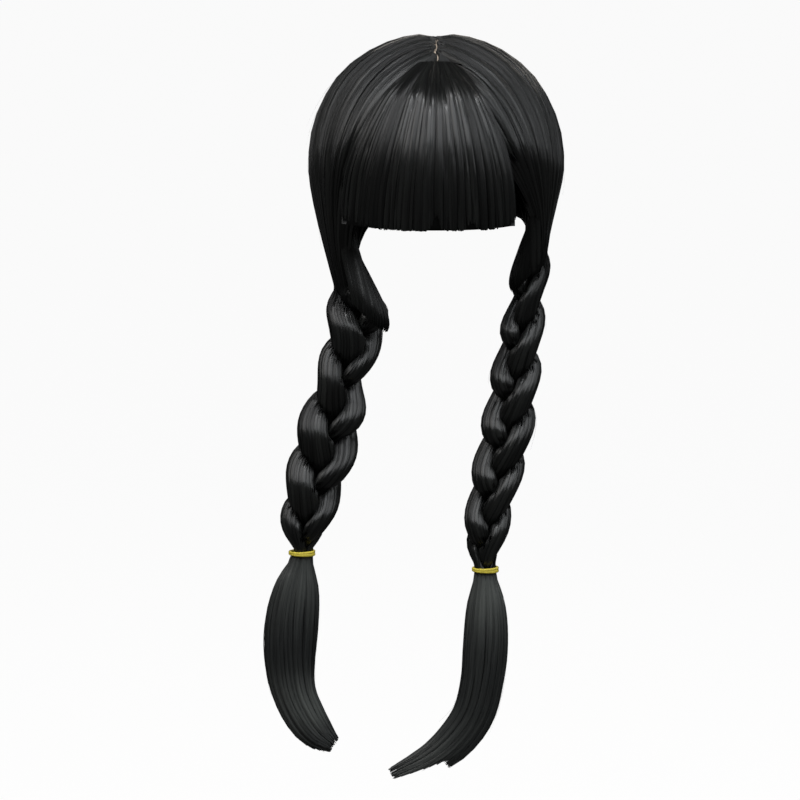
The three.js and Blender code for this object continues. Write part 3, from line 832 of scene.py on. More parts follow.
class Form:
    """A closed form, given by a function of a place around it and a travel along it."""

    def __init__(self, surface):
        self.surface = surface
        self.outward = 1
        ring = np.arange(24) / 24
        place, _, normal, _ = self.frame(ring, np.full(24, 0.5))
        self.outward = np.sign(np.sum(normal * (place - place.mean(axis=0))))

    def __call__(self, around, travel):
        return self.surface(around, travel)

    def frame(self, around, travel):
        """Points of the form, unit vectors across it to the side and straight out of it, and its length
        around for each unit of a place around it."""
        near = 2e-3
        across = self(around + near, travel) - self(around - near, travel)
        low, high = np.maximum(travel - near, 0), np.minimum(travel + near, 1)
        along = unit(self(around, high) - self(around, low))
        span = np.linalg.norm(across, axis=-1) / (2 * near)
        lateral = unit(across)
        return self(around, travel), lateral, unit(np.cross(lateral, along)) * self.outward, span

    def inset(self, depth):
        """The surface moved inwards by a depth, for the dark body under the locks."""

        def lower(around, travel):
            place, _, normal, _ = self.frame(around, travel)
            return place - normal * depth

        return lower


class Clumps:
    """Neighbouring locks that lie together: they share a height, draw together and make one dome."""

    def __init__(self, rng, count, relief, dome, pull):
        width = rng.lognormal(0, 0.45, count)
        self.edges = np.cumsum(width) / np.sum(width)
        self.next = np.r_[self.edges[1:], self.edges[0] + 1]
        self.height = rng.uniform(-relief, relief, count)
        self.sway = rng.uniform(0, FULL_TURN, count)
        self.pull = pull * rng.uniform(0.3, 1, count)
        self.shade = rng.uniform(0.3, 1, count)
        self.pitch = rng.normal(0, 0.045, count)
        self.dome = dome

    def index(self, around):
        at = np.mod(around - self.edges[0], 1) + self.edges[0]
        return at, np.clip(np.searchsorted(self.edges, at, side="right") - 1, 0, len(self.edges) - 1)

    def lay(self, around, go, span):
        """How far locks move to their clump's middle, how high they lie, how they lean, and how much of
        their tone they keep at each step: a random share for each clump, darkened towards the clump's edges
        as painted shade in the gaps between clumps."""
        at, i = self.index(around)
        half = (self.next[i] - self.edges[i]) / 2
        off = (at - self.edges[i] - half) / half
        sway = self.sway[i][:, None]
        start = smooth(go, 0.03, 0.3)
        shift = -(off * half * self.pull[i])[:, None] * (0.6 + 0.4 * np.sin(sway + go * 7)) * start
        half_length = half[:, None] * span
        dome = self.dome * np.minimum(half_length, 0.004)
        bow = np.sqrt(1 - 0.9 * off**2)[:, None]
        height = self.height[i][:, None] * np.sin(sway * 2 + go * 4) + dome * (bow - 0.6)
        lean = -dome * 0.9 * off[:, None] / bow / np.maximum(half_length, 1e-4)
        # Painted shade: darker towards the clump's edges, on top of a random tone for each clump.
        clump_tone_and_edge_shade = self.shade[i] * (1 - 0.85 * off**4)
        return shift, height * start, lean * start, clump_tone_and_edge_shade[:, None]


class Paths:
    """The middle lines of many locks: points, unit vectors across them and straight out of them, and a tone
    from 0 for hair that lies deep to 1 for hair on top; as painted shade it darkens the deeper hair, and on
    the tails it also holds painted sheen."""

    def __init__(self, place, lateral, normal, tone):
        self.place = place
        self.lateral = lateral
        self.tone = tone
        along = unit(np.gradient(place, axis=1))
        self.normal = unit(normal - along * np.sum(normal * along, axis=-1, keepdims=True))

    def lifted(self, lift):
        return Paths(self.place + self.normal * lift[..., None], self.lateral, self.normal, self.tone)

    def pitch(self, rng, around, clumps):
        """Tips the upper part of the locks a little along their length, clump by clump, so that they catch
        the light at uneven places."""
        tip = rng.normal(0, 0.03, len(around))
        for clump in clumps:
            tip = tip + clump.pitch[clump.index(around)[1]]
        tip = tip[:, None] * (1 - smooth(steps_of(self.place.shape[1] - 1), 0.28, 0.5))
        along = unit(np.gradient(self.place, axis=1))
        self.normal = unit(self.normal + along * tip[..., None])


def lay_paths(rng, form, around, go, lift, clumps=(), wander=0.003, sway=0.0003):
    """Lays locks on a form. around holds a place for each lock, go the shares along the form at each of its
    steps, and lift the range of heights over the form."""
    count = len(around)
    line = np.repeat(around[:, None], go.shape[1], axis=1)
    line = line + wander * Waves(rng, 3, 1.2)(line, go)
    own = rng.uniform(0, FULL_TURN, (count, 1))
    line = line + wander * 0.35 * np.sin(own + go * rng.uniform(2, 7, (count, 1)))
    level = rng.uniform(0, 1, count)
    rise = mix(*lift, level)[:, None] + sway * np.sin(own * 3 + go * rng.uniform(5, 13, (count, 1)))
    span = form.frame(line, go)[3]
    lean = np.zeros_like(go)
    # Painted shade: a lock that lies lower starts with a darker tone.
    tone = np.repeat(level[:, None] ** 0.6, go.shape[1], axis=1)
    for clump in clumps:
        shift, height, tilt, clump_tone_and_edge_shade = clump.lay(around, go, span)
        line = line + shift
        rise = rise + height
        lean = lean + tilt
        tone = tone * clump_tone_and_edge_shade
    place, lateral, normal, _ = form.frame(line, go)
    place = place + normal * rise[..., None]
    leaning = lean[..., None]
    return Paths(place, unit(lateral + normal * leaning), unit(normal - lateral * leaning), tone)


def tapered(width, steps, first, last, point=0.15):
    """Half widths of locks at each step, narrow over a first and a last share of their length."""
    u = steps_of(steps)
    ends = smooth(u, -0.2 * first, first) * mix(1, point, smooth(u, 1 - last, 1))
    return np.maximum(width[:, None] / 2 * ends[None, :], 0.00008)


def go_between(start, end, steps):
    return mix(start[:, None], end[:, None], steps_of(steps)[None, :])


def steps_of(count):
    return np.linspace(0, 1, count + 1)


def add_stray_hairs(name, rng, form, around, start, end, lift):
    """Single hairs that lift off a form towards their tips."""
    count = len(around)
    steps = 9
    go = go_between(start, end, steps)
    paths = lay_paths(rng, form, around, go, (0.0002, 0.0010), wander=0.02)
    fly = rng.uniform(0.1, 1, count)[:, None] ** 2 * steps_of(steps)[None, :] ** 2 * lift
    paths = paths.lifted(fly)
    half_width = tapered(rng.uniform(0.00014, 0.00030, count), steps, 0.02, 0.3, 0.4)
    add_locks(name, paths, half_width)


# Materials


def add_node(nodes, kind, inputs=None, **settings):
    """A node with its settings and the constant values of its inputs."""
    node = nodes.new(kind)
    for name, value in settings.items():
        setattr(node, name, value)
    for socket, value in (inputs or {}).items():
        node.inputs[socket].default_value = value
    return node


def new_group(name, sockets):
    group = bpy.data.node_groups.new(name, "ShaderNodeTree")
    for label, kind, where in sockets:
        group.interface.new_socket(name=label, socket_type=kind, in_out=where)
    return group, group.nodes.new("NodeGroupInput"), group.nodes.new("NodeGroupOutput")


def fibre_group():
    """Fine streaks that run along a lock: a shade of 0 to 1 and a height for a bump."""
    group, given, made = new_group(
        "Fibre streaks",
        [
            ("Map", "NodeSocketVector", "INPUT"),
            ("Across", "NodeSocketFloat", "INPUT"),
            ("Along", "NodeSocketFloat", "INPUT"),
            ("Shade", "NodeSocketFloat", "OUTPUT"),
            ("Height", "NodeSocketFloat", "OUTPUT"),
        ],
    )
    nodes, links = group.nodes, group.links
    scale = add_node(nodes, "ShaderNodeCombineXYZ")
    stretch = add_node(nodes, "ShaderNodeVectorMath", operation="MULTIPLY")
    coarse = add_node(nodes, "ShaderNodeTexNoise", {"Scale": 1, "Detail": 2})
    fine = add_node(nodes, "ShaderNodeTexNoise", {"Scale": 3.3, "Detail": 1})
    shade = add_node(nodes, "ShaderNodeMapRange", {"From Min": 0.35, "From Max": 0.68})
    total = add_node(nodes, "ShaderNodeMath", operation="ADD")
    links.new(given.outputs["Across"], scale.inputs["X"])
    links.new(given.outputs["Along"], scale.inputs["Y"])
    links.new(given.outputs["Map"], stretch.inputs[0])
    links.new(scale.outputs["Vector"], stretch.inputs[1])
    for part, noise in enumerate((coarse, fine)):
        links.new(stretch.outputs["Vector"], noise.inputs["Vector"])
        links.new(noise.outputs["Fac"], total.inputs[part])
    links.new(coarse.outputs["Fac"], shade.inputs["Value"])
    links.new(shade.outputs["Result"], made.inputs["Shade"])
    links.new(total.outputs["Value"], made.inputs["Height"])
    return group


def new_material(name, roughness, specular=0.5):
    material = bpy.data.materials.new(name)
    material.use_nodes = True
    shader = material.node_tree.nodes["Principled BSDF"]
    shader.inputs["Roughness"].default_value = roughness
    shader.inputs["Specular IOR Level"].default_value = specular
    return material, material.node_tree.nodes, material.node_tree.links, shader


STREAK_SHARE = 0.2  # of a lock's shade, that its fibres give; the rest is the lock's tone, which holds painted shade and, on the tails, painted sheen
STREAK_ROUGHNESS = 0.08  # added on the lightest fibres
FULL_GLOSS_TONE = 0.45  # the tone from which a lock has its full gloss


def tint_by(nodes, links, shader, source, dark, light):
    """Colours a shader between a dark and a light colour by a value of 0 to 1."""
    ends = {"A": (*dark, 1), "B": (*light, 1)}
    tint = add_node(nodes, "ShaderNodeMix", ends, data_type="RGBA")
    links.new(source, tint.inputs["Factor"])
    links.new(tint.outputs["Result"], shader.inputs["Base Color"])


def raise_by(nodes, links, shader, source, strength, distance=0.0002):
    """Gives a shader a relief by a height."""
    relief = add_node(nodes, "ShaderNodeBump", {"Strength": strength, "Distance": distance})
    links.new(source, relief.inputs["Height"])
    links.new(relief.outputs["Normal"], shader.inputs["Normal"])


def dimmed(colour, by):
    return [channel * by for channel in colour]


def hair_material(name, finish, streaks, across, along, painted_light_scale=1.0):
    """Glossy black fibres that run along the UV map's second direction. Their colour is mixed from dark to
    light by the fibre streaks and by the tone attribute, which paints shade on deep hair and between clumps
    and paints sheen on the tails; the scale given makes both colours paler on the tails as painted sheen and
    darker on the body as painted shade.
    """
    material, nodes, links, shader = new_material(name, finish.gloss)
    shader.inputs["Anisotropic"].default_value = 0.9
    uv = add_node(nodes, "ShaderNodeUVMap", uv_map="fibres")
    fibres = add_node(nodes, "ShaderNodeGroup", node_tree=streaks)
    fibres.inputs["Across"].default_value = across
    fibres.inputs["Along"].default_value = along
    tangent = add_node(nodes, "ShaderNodeTangent", direction_type="UV_MAP", uv_map="fibres")
    # The tone attribute: painted shade on deep hair and between clumps, painted sheen on the tails.
    own = add_node(nodes, "ShaderNodeAttribute", attribute_name="tone")
    fibre_and_painted_light_mix = add_node(nodes, "ShaderNodeMath", {1: 1 - STREAK_SHARE}, operation="MULTIPLY_ADD")
    streak = add_node(nodes, "ShaderNodeMath", {1: STREAK_SHARE}, operation="MULTIPLY")
    range_of_gloss = {"From Max": FULL_GLOSS_TONE, "To Min": finish.deep_roughness, "To Max": finish.gloss}
    depth = add_node(nodes, "ShaderNodeMapRange", range_of_gloss, interpolation_type="SMOOTHSTEP")
    rough = add_node(nodes, "ShaderNodeMath", {1: STREAK_ROUGHNESS}, operation="MULTIPLY_ADD")
    links.new(uv.outputs["UV"], fibres.inputs["Map"])
    links.new(tangent.outputs["Tangent"], shader.inputs["Tangent"])
    links.new(own.outputs["Fac"], fibre_and_painted_light_mix.inputs[0])
    links.new(fibres.outputs["Shade"], streak.inputs[0])
    links.new(streak.outputs["Value"], fibre_and_painted_light_mix.inputs[2])
    links.new(own.outputs["Fac"], depth.inputs["Value"])
    links.new(fibres.outputs["Shade"], rough.inputs[0])
    links.new(depth.outputs["Result"], rough.inputs[2])
    links.new(rough.outputs["Value"], shader.inputs["Roughness"])
    dark, light = dimmed(finish.hair_dark_and_painted_shade, painted_light_scale), dimmed(finish.hair_light_and_painted_sheen, painted_light_scale)
    tint_by(nodes, links, shader, fibre_and_painted_light_mix.outputs["Value"], dark, light)
    raise_by(nodes, links, shader, fibres.outputs["Height"], 0.3)
    return material


def shared_material(name):
    """One of the wig's finishes, made the first time that it is asked for."""
    if name in bpy.data.materials:
        return bpy.data.materials[name]
    finish = bpy.context.scene.wig.finish
    streaks = bpy.data.node_groups.get("Fibre streaks") or fibre_group()
    if name == "hair locks":
        return hair_material(name, finish, streaks, 2600, 26)
    # Painted sheen: the tails' colours are made much paler, so that their tone shows sheen where they catch
    # the light.
    if name == "tail locks painted sheen":
        return hair_material(name, finish, streaks, 2600, 26, painted_light_scale=7.5)
    # Painted shade: the body's colours are dimmed and it has no tone, so it shows dark in the gaps between
    # locks.
    if name == "hair body painted shade":
        return hair_material(name, finish, streaks, 260, 3, painted_light_scale=0.6)
    if name == "cap net":
        return net_material(name, finish)
    if name == "parting skin":
        return grained_material(name, finish.skin, 0.55, 900, (0.6, 0.3), 0.5)
    return grained_material(name, finish.elastic, 0.5, 260, (0.5, 0.4), 0.3)


def net_material(name, finish):
    """Matt threads round open cells."""
    material, nodes, links, shader = new_material(name, 0.85, 0.25)
    where = add_node(nodes, "ShaderNodeTexCoord")
    cells = add_node(nodes, "ShaderNodeTexVoronoi", {"Scale": 520}, feature="DISTANCE_TO_EDGE")
    thread_range = {"From Min": 0.05, "From Max": 0.22, "To Min": 1, "To Max": 0}
    threads = add_node(nodes, "ShaderNodeMapRange", thread_range)
    links.new(where.outputs["Object"], cells.inputs["Vector"])
    links.new(cells.outputs["Distance"], threads.inputs["Value"])
    shown = threads.outputs["Result"]
    tint_by(nodes, links, shader, shown, dimmed(finish.net, 0.3), dimmed(finish.net, 1.8))
    raise_by(nodes, links, shader, shown, 0.8, 0.0004)
    return material


def grained_material(name, colour, darkest, scale, surface, strength):
    """A fine grain. darkest is a share of its colour, and surface its roughness and specular level."""
    material, nodes, links, shader = new_material(name, *surface)
    where = add_node(nodes, "ShaderNodeTexCoord")
    grain = add_node(nodes, "ShaderNodeTexNoise", {"Scale": scale, "Detail": 3})
    links.new(where.outputs["Object"], grain.inputs["Vector"])
    tint_by(nodes, links, shader, grain.outputs["Fac"], dimmed(colour, darkest), colour)
    raise_by(nodes, links, shader, grain.outputs["Fac"], strength)
    return material


# Operators


# The clumps of locks on each form: how many, how far they rise and sink, how domed they are, and how far
# their locks draw together
CROWN_CLUMPS = [(54, 0.0008, 0.5, 0.34), (130, 0.0003, 0.2, 0.1)]
FRINGE_CLUMPS = [(62, 0.0007, 0.55, 0.3), (150, 0.0003, 0.2, 0.1)]
STRAND_CLUMPS = [(18, 0.0003, 0.3, 0.2)]
TAIL_CLUMPS = [(15, 0.0003, 0.25, 0.3), (36, 0.0002, 0.15, 0.1)]

# The steps along the locks of each form
CROWN_STEPS = 17
FRINGE_STEPS = 20
STRAND_STEPS = 42
TAIL_STEPS = 20
INNER_STEPS = 12  # on the inner faces of the crown and the fringe
ONTO_STEPS = 9  # of the ends that run on over a plait
COVER_STEPS = 16

# The narrowest and widest locks of each form
CROWN_WIDTHS = (0.0012, 0.0034)
FRINGE_WIDTHS = (0.0011, 0.0030)
STRAND_WIDTHS = (0.0010, 0.0026)
TAIL_WIDTHS = (0.0010, 0.0024)
INNER_WIDTHS = (0.0014, 0.0028)
COVER_WIDTHS = (0.0022, 0.0042)

# How deep the dark bodies lie under the locks
CROWN_BODY_DEPTH = 0.0019
FRINGE_BODY_DEPTH = 0.0017
STRAND_BODY_DEPTH = 0.0008
TAIL_BODY_SCALE = 0.8

# The locks over the top of a plait: the share of the crown hair's way round that they take, where they leave
# it, and how their ends rise to the outer side and lift at the inner one
COVER_SPAN = 0.2
COVER_LEAVES = 0.9
COVER_AHEAD = 0.94
COVER_OUTER_RISE = 0.028
COVER_INNER_LIFT = 0.004

FRINGE_LENGTH = 0.17  # from its root to its cut
SEWN_ROWS = 13
SEWN_HEIGHT = 0.0004

# The rounds of an elastic: how far each lies over the tie's middle, and its tilt in degrees
TIE_WRAPS = [(0.0003, 2), (0.0022, -2), (0.0013, 4)]


def clumps_of(rng, rows):
    return [Clumps(rng, *row) for row in rows]


def plaits(wig):
    return {"left": wig.left, "right": wig.right}


def random_of(wig, salt):
    return np.random.default_rng([wig.locks.seed, salt])


class WIG_OT_camera(bpy.types.Operator):
    """Places the camera at the picture's viewing angle"""

    bl_idname = "wig.camera"
    bl_label = "Camera"

    def execute(self, context):
        stage = context.scene.wig.stage
        data = bpy.data.cameras.new("camera")
        data.lens = stage.lens
        data.sensor_width = 36
        data.clip_end = 100
        camera = bpy.data.objects.new("camera", data)
        back = Vector((0, -math.cos(stage.elevation), math.sin(stage.elevation)))
        camera.location = Vector(stage.look_at) + back * stage.distance
        camera.rotation_euler = (math.pi / 2 - stage.elevation, 0, 0)
        context.scene.collection.objects.link(camera)
        context.scene.camera = camera
        return {"FINISHED"}


class WIG_OT_cap(bpy.types.Operator):
    """Builds the net cap with its sewn rows"""

    bl_idname = "wig.cap"
    bl_label = "Cap"

    def execute(self, context):
        wig = context.scene.wig
        head = wig.head
        space = head_space(head)

        def surface(around, travel):
            """From the top down the outer face to the rim, and back up the inner face."""
            angle = around * FULL_TURN
            to_front = np.maximum(0, -np.sin(angle)) ** 1.5
            to_back = np.maximum(0, np.sin(angle)) ** 1.5
            rise = mix(mix(head.cap_over_ears, head.cap_hairline, to_front), head.cap_nape, to_back)
            down = 1 - np.abs(1 - 2 * travel)
            polar = np.arccos(rise) * down
            direction = points(
                np.cos(angle) * np.sin(polar), np.sin(angle) * np.sin(polar), np.cos(polar)
            )
            outer = travel <= 0.5
            place = on_shape(head, grown(space, head.cap_wall), direction)
            inner = on_shape(head, space, direction)
            sewn = SEWN_HEIGHT * np.abs(np.sin(down * SEWN_ROWS * math.pi)) ** 4
            inner = inner + direction * (SEWN_HEIGHT - sewn)[..., None]
            return np.where(outer[..., None], place, inner)

        mesh = tube("cap_net", 72, 110, surface, poles=True)
        add_piece(mesh, shared_material("cap net"), slot="net", replaces=["wig_cap"])
        return {"FINISHED"}


class WIG_OT_parting(bpy.types.Operator):
    """Builds the skin-coloured strip in the parting"""

    bl_idname = "wig.parting"
    bl_label = "Parting strip"

    def execute(self, context):
        head = context.scene.wig.head
        space = head_space(head)
        low = grown(space, head.cap_wall + head.seat_gap)
        high = grown(low, head.strip_thickness)

        def surface(across, travel, outer):
            angle = mix(-head.parting_front, head.strip_back, travel)
            direction = points(0, np.sin(angle), np.cos(angle))
            place = mix(on_shape(head, low, direction), on_shape(head, high, direction), outer[:, None])
            place[:, 0] = (across - 0.5) * head.strip_width
            return place

        mesh = shell("parting_skin", 8, 60, surface)
        add_piece(mesh, shared_material("parting skin"), slot="parting", replaces=["parting_strip"])
        return {"FINISHED"}


def onto_plait(rng, strands, paths, reach):
    """Leads the ends of locks on over the nearest strand of a plait, by a share of the strand's length."""
    steps = ONTO_STEPS
    ring = np.arange(48) / 48
    tops = np.concatenate([strand(ring, np.full(ring.shape, 0.01)) for strand in strands])
    end = paths.place[:, -1]
    nearest = np.argmin(np.linalg.norm(end[:, None] - tops[None], axis=-1), axis=1)
    which, around = nearest // len(ring), ring[nearest % len(ring)]
    go = np.maximum(reach[:, None] * steps_of(steps)[None, 1:], 0.004)
    place, lateral, normal = (np.zeros((*go.shape, 3)) for _ in range(3))
    for i, strand in enumerate(strands):
        mine = which == i
        if mine.any():
            line = np.repeat(around[mine][:, None], steps, axis=1)
            place[mine], lateral[mine], normal[mine], _ = strand.frame(line, go[mine])
    same = np.sign(np.sum(lateral[:, :1] * paths.lateral[:, -1:], axis=-1, keepdims=True))
    lateral = lateral * np.where(same == 0, 1, same)
    place = place + normal * rng.uniform(-0.0002, 0.0005, (len(end), 1, 1))

    u = steps_of(steps)[None, 1:, None]
    length = np.linalg.norm(place[:, -1:] - end[:, None], axis=-1, keepdims=True)
    leaving = unit(end - paths.place[:, -2])[:, None] * length
    arriving = unit(place[:, -1] - place[:, -2])[:, None] * length
    bridge = hermite(end[:, None], leaving, place[:, -1:], arriving, u)
    share = smooth(u, 0.1, 1)
    place = mix(bridge, place, share)
    lateral = unit(mix(paths.lateral[:, -1:], lateral, share))
    normal = unit(mix(paths.normal[:, -1:], normal, share))
    tone = np.repeat(paths.tone[:, -1:], steps, axis=1)
    return Paths(
        np.concatenate((paths.place, place), axis=1),
        np.concatenate((paths.lateral, lateral), axis=1),
        np.concatenate((paths.normal, normal), axis=1),
        np.concatenate((paths.tone, tone), axis=1),
    )


def cover_paths(rng, plait, form):
    """Locks that run from the front of the gathered hair over the top of a plait to its inner side."""
    count, steps = plait.cover_locks, COVER_STEPS
    inner = rng.permutation(np.linspace(0, 1, count) ** 0.6)
    around = 1 - COVER_SPAN * inner
    start, _, _, _ = form.frame(around, np.full(count, COVER_LEAVES))
    later, _, _, _ = form.frame(around, np.full(count, COVER_AHEAD))
    low = rng.uniform(-0.001, 0.001, count) - plait.cover_drop
    low = low + COVER_INNER_LIFT * inner**8 + COVER_OUTER_RISE * (1 - inner)
    out = mix(plait.cover_outer, plait.cover_inner, inner)
    turned = inner * math.pi / 2
    end = points(side_of(plait) * out, -plait.cover_depth * np.cos(turned * 0.85) ** 0.6, low)
    reach = np.linalg.norm(end - start, axis=-1, keepdims=True)
    leaving = unit(later - start) * reach
    tucked = points(side_of(plait) * 0.5 * inner, 0.6 + 0 * inner, -1 + 0 * inner)
    arriving = unit(tucked) * reach * 0.8
    u = steps_of(steps)[None, :, None]
    place = hermite(start[:, None], leaving[:, None], end[:, None], arriving[:, None], u)
    normal = points(-side_of(plait) * np.sin(turned), -np.cos(turned), 0 * turned)
    normal = np.repeat(normal[:, None], steps + 1, axis=1)
    place = place + normal * rng.uniform(0, 0.0012, (count, 1, 1)) * smooth(u, 0, 0.3)
    lateral = unit(np.cross(np.gradient(place, axis=1), normal))
    tone = np.repeat(rng.uniform(0, 0.6, (count, 1)), steps + 1, axis=1)
    half_width = tapered(rng.uniform(*COVER_WIDTHS, count), steps, 0.1, 0.1, 0.6)
    return Paths(place, lateral, normal, tone), half_width


class WIG_OT_crown(bpy.types.Operator):
    """Builds the crown hair: for each half a dark body and the locks that lie on it"""

    bl_idname = "wig.crown"
    bl_label = "Crown hair"

    def execute(self, context):
        wig = context.scene.wig
        for salt, (name, plait) in enumerate(plaits(wig).items()):
            rng = random_of(wig, 10 + salt)
            form = Form(crown_surface(wig, plait))
            strands = [Form(strand_surface(wig, plait, i)) for i in range(3)]
            add_body(tube(f"crown_{name}_body", 150, 70, form.inset(CROWN_BODY_DEPTH)), f"crown_hair_{name}")
            clumps = clumps_of(rng, CROWN_CLUMPS)

            count = wig.locks.crown_locks
            around = (np.arange(count) + rng.uniform(-0.5, 0.5, count)) / count * OUTER_FACE
            around = np.clip(around, 0.002, OUTER_FACE - 0.002)
            go = go_between(rng.uniform(0, 0.012, count), np.full(count, 0.995), CROWN_STEPS)
            paths = lay_paths(rng, form, around, go, (-0.0014, 0.0001), clumps)
            # Painted shade: the locks darken towards the plait, where the hair gathers.
            paths.tone = paths.tone * (1 - 0.75 * smooth(go, 0.86, 0.98))
            paths = onto_plait(rng, strands, paths, rng.uniform(0.04, 0.2, count))
            paths.pitch(rng, around, clumps)
            steps = CROWN_STEPS + ONTO_STEPS
            half_width = tapered(rng.uniform(*CROWN_WIDTHS, count), steps, 0.03, 0.2)
            gather = 1 - 0.45 * smooth(steps_of(steps), 0.45, 0.68)
            add_locks(f"crown_{name}_locks", paths, half_width * gather)

            count = wig.locks.crown_locks // 4
            around = rng.uniform(OUTER_FACE, 1, count)
            go = go_between(rng.uniform(0.4, 0.5, count), np.full(count, 0.995), INNER_STEPS)
            paths = lay_paths(rng, form, around, go, (-0.0013, -0.0003), clumps[:1], wander=0.002)
            paths = onto_plait(rng, strands, paths, rng.uniform(0.03, 0.1, count))
            steps = INNER_STEPS + ONTO_STEPS
            half_width = tapered(rng.uniform(*INNER_WIDTHS, count), steps, 0.1, 0.2)
            add_locks(f"crown_{name}_inner_locks", paths, half_width)

            paths, half_width = cover_paths(rng, plait, form)
            add_locks(f"crown_{name}_cover", paths, half_width)

            count = wig.locks.stray_hairs
            around = rng.uniform(0.01, OUTER_FACE, count)
            first = rng.uniform(0.05, 0.6, count)
            last = first + rng.uniform(0.15, 0.35, count)
            add_stray_hairs(f"crown_{name}_strays", rng, form, around, first, last, 0.006)
        return {"FINISHED"}


class WIG_OT_fringe(bpy.types.Operator):
    """Builds the fringe: a dark body and the locks that fan over it to the blunt cut"""

    bl_idname = "wig.fringe"
    bl_label = "Fringe"

    def execute(self, context):
        wig = context.scene.wig
        rng = random_of(wig, 20)
        form = Form(fringe_surface(wig))
        add_body(tube("fringe_body", 160, 40, form.inset(FRINGE_BODY_DEPTH)), "fringe")
        clumps = clumps_of(rng, FRINGE_CLUMPS)

        count = wig.locks.fringe_locks
        around = rng.permutation(np.linspace(0.004, 0.496, count))
        cut = column(FRINGE_CUT, "drop", around * 2) / FRINGE_LENGTH
        last = np.clip(0.985 + cut + rng.uniform(-0.012, 0.006, count), 0, 1)
        go = go_between(rng.uniform(0, 0.02, count), last, FRINGE_STEPS)
        paths = lay_paths(
            rng, form, around, go, (-0.0013, 0.0002), clumps, wander=0.002, sway=0.0004
        )
        paths.pitch(rng, around, clumps)
        half_width = tapered(rng.uniform(*FRINGE_WIDTHS, count), FRINGE_STEPS, 0.05, 0.03, 0.5)
        add_locks("fringe_locks", paths, half_width)

        count = wig.locks.fringe_locks // 4
        around = rng.uniform(0.5, 1, count)
        go = go_between(np.full(count, 0.3), rng.uniform(0.95, 0.99, count), INNER_STEPS)
        paths = lay_paths(rng, form, around, go, (-0.0013, -0.0004), wander=0.002)
        half_width = tapered(rng.uniform(*INNER_WIDTHS, count), INNER_STEPS, 0.05, 0.05, 0.5)
        add_locks("fringe_inner_locks", paths, half_width)

        count = wig.locks.stray_hairs
        first = rng.uniform(0.1, 0.6, count)
        last = first + rng.uniform(0.2, 0.38, count)
        around = rng.uniform(0.02, 0.48, count)
        add_stray_hairs("fringe_strays", rng, form, around, first, last, 0.002)
        return {"FINISHED"}


class WIG_OT_plaits(bpy.types.Operator):
    """Builds the three strands of each plait, each a dark body wrapped in locks"""

    bl_idname = "wig.plaits"
    bl_label = "Plaits"

    def execute(self, context):
        wig = context.scene.wig
        for salt, (name, plait) in enumerate(plaits(wig).items()):
            for strand in range(3):
                rng = random_of(wig, 30 + salt * 3 + strand)
                form = Form(strand_surface(wig, plait, strand))
                node = f"plait_{name}_strand_{strand + 1}"
                add_body(tube(f"{node}_body", 36, 90, form.inset(STRAND_BODY_DEPTH)), node)
                clumps = clumps_of(rng, STRAND_CLUMPS)
                count = wig.locks.strand_locks
                around = (np.arange(count) + rng.uniform(-0.5, 0.5, count)) / count
                go = go_between(np.zeros(count), np.full(count, 1.0), STRAND_STEPS)
                paths = lay_paths(
                    rng, form, around, go, (-0.0008, 0.0), clumps, wander=0.008, sway=0.0001
                )
                # Painted shade: each strand darkens at its top, under the crown hair.
                paths.tone = paths.tone * mix(0.25, 1, smooth(go, 0.02, 0.14))
                half_width = tapered(rng.uniform(*STRAND_WIDTHS, count), STRAND_STEPS, 0.02, 0.02, 0.5)
                add_locks(f"{node}_locks", paths, half_width)

                count = max(1, wig.locks.stray_hairs // 5)
                first = rng.uniform(0.05, 0.7, count)
                last = first + rng.uniform(0.06, 0.14, count)
                add_stray_hairs(f"{node}_strays", rng, form, rng.uniform(0, 1, count), first, last, 0.006)
        return {"FINISHED"}


class WIG_OT_tails(bpy.types.Operator):
    """Builds the loose tails, whose locks draw together to wispy points"""

    bl_idname = "wig.tails"
    bl_label = "Tails"

    def execute(self, context):
        wig = context.scene.wig
        for salt, (name, plait) in enumerate(plaits(wig).items()):
            rng = random_of(wig, 40 + salt)
            form = Form(tail_surface(wig, plait))
            end = 1 - plait.tail_thinning * 0.6 - plait.tail_step
            inner = tail_surface(wig, plait, TAIL_BODY_SCALE, end)
            add_body(tube(f"tail_{name}_body", 40, 60, inner), f"tail_{name}")
            count = wig.locks.tail_locks
            around = rng.uniform(0, 1, count)
            last = 1 - plait.tail_thinning * rng.uniform(0, 1, count) ** 1.5
            last = last - plait.tail_step * smooth(np.cos(around * FULL_TURN), 0.1, 0.5)
            go = go_between(np.zeros(count), last, TAIL_STEPS)
            clumps = clumps_of(rng, TAIL_CLUMPS)
            paths = lay_paths(rng, form, around, go, (-0.0018, 0.0), clumps, wander=0.008)
            # Painted sheen: the tone follows the table's sheen column down the tail.
            paths.tone = np.sqrt(paths.tone) * column(tail_rows(plait), "painted_sheen_and_gloss", go)
            width = rng.uniform(*TAIL_WIDTHS, count)
            half_width = tapered(width, TAIL_STEPS, 0.03, plait.tail_thinning, 0.4)
            add_locks(f"tail_{name}_locks", paths, half_width, "tail locks painted sheen")

            count = wig.locks.stray_hairs // 2
            first = rng.uniform(0.2, 0.7, count)
            last = np.minimum(first + rng.uniform(0.15, 0.3, count), 1)
            add_stray_hairs(f"tail_{name}_strays", rng, form, rng.uniform(0, 1, count), first, last, 0.005)
        return {"FINISHED"}


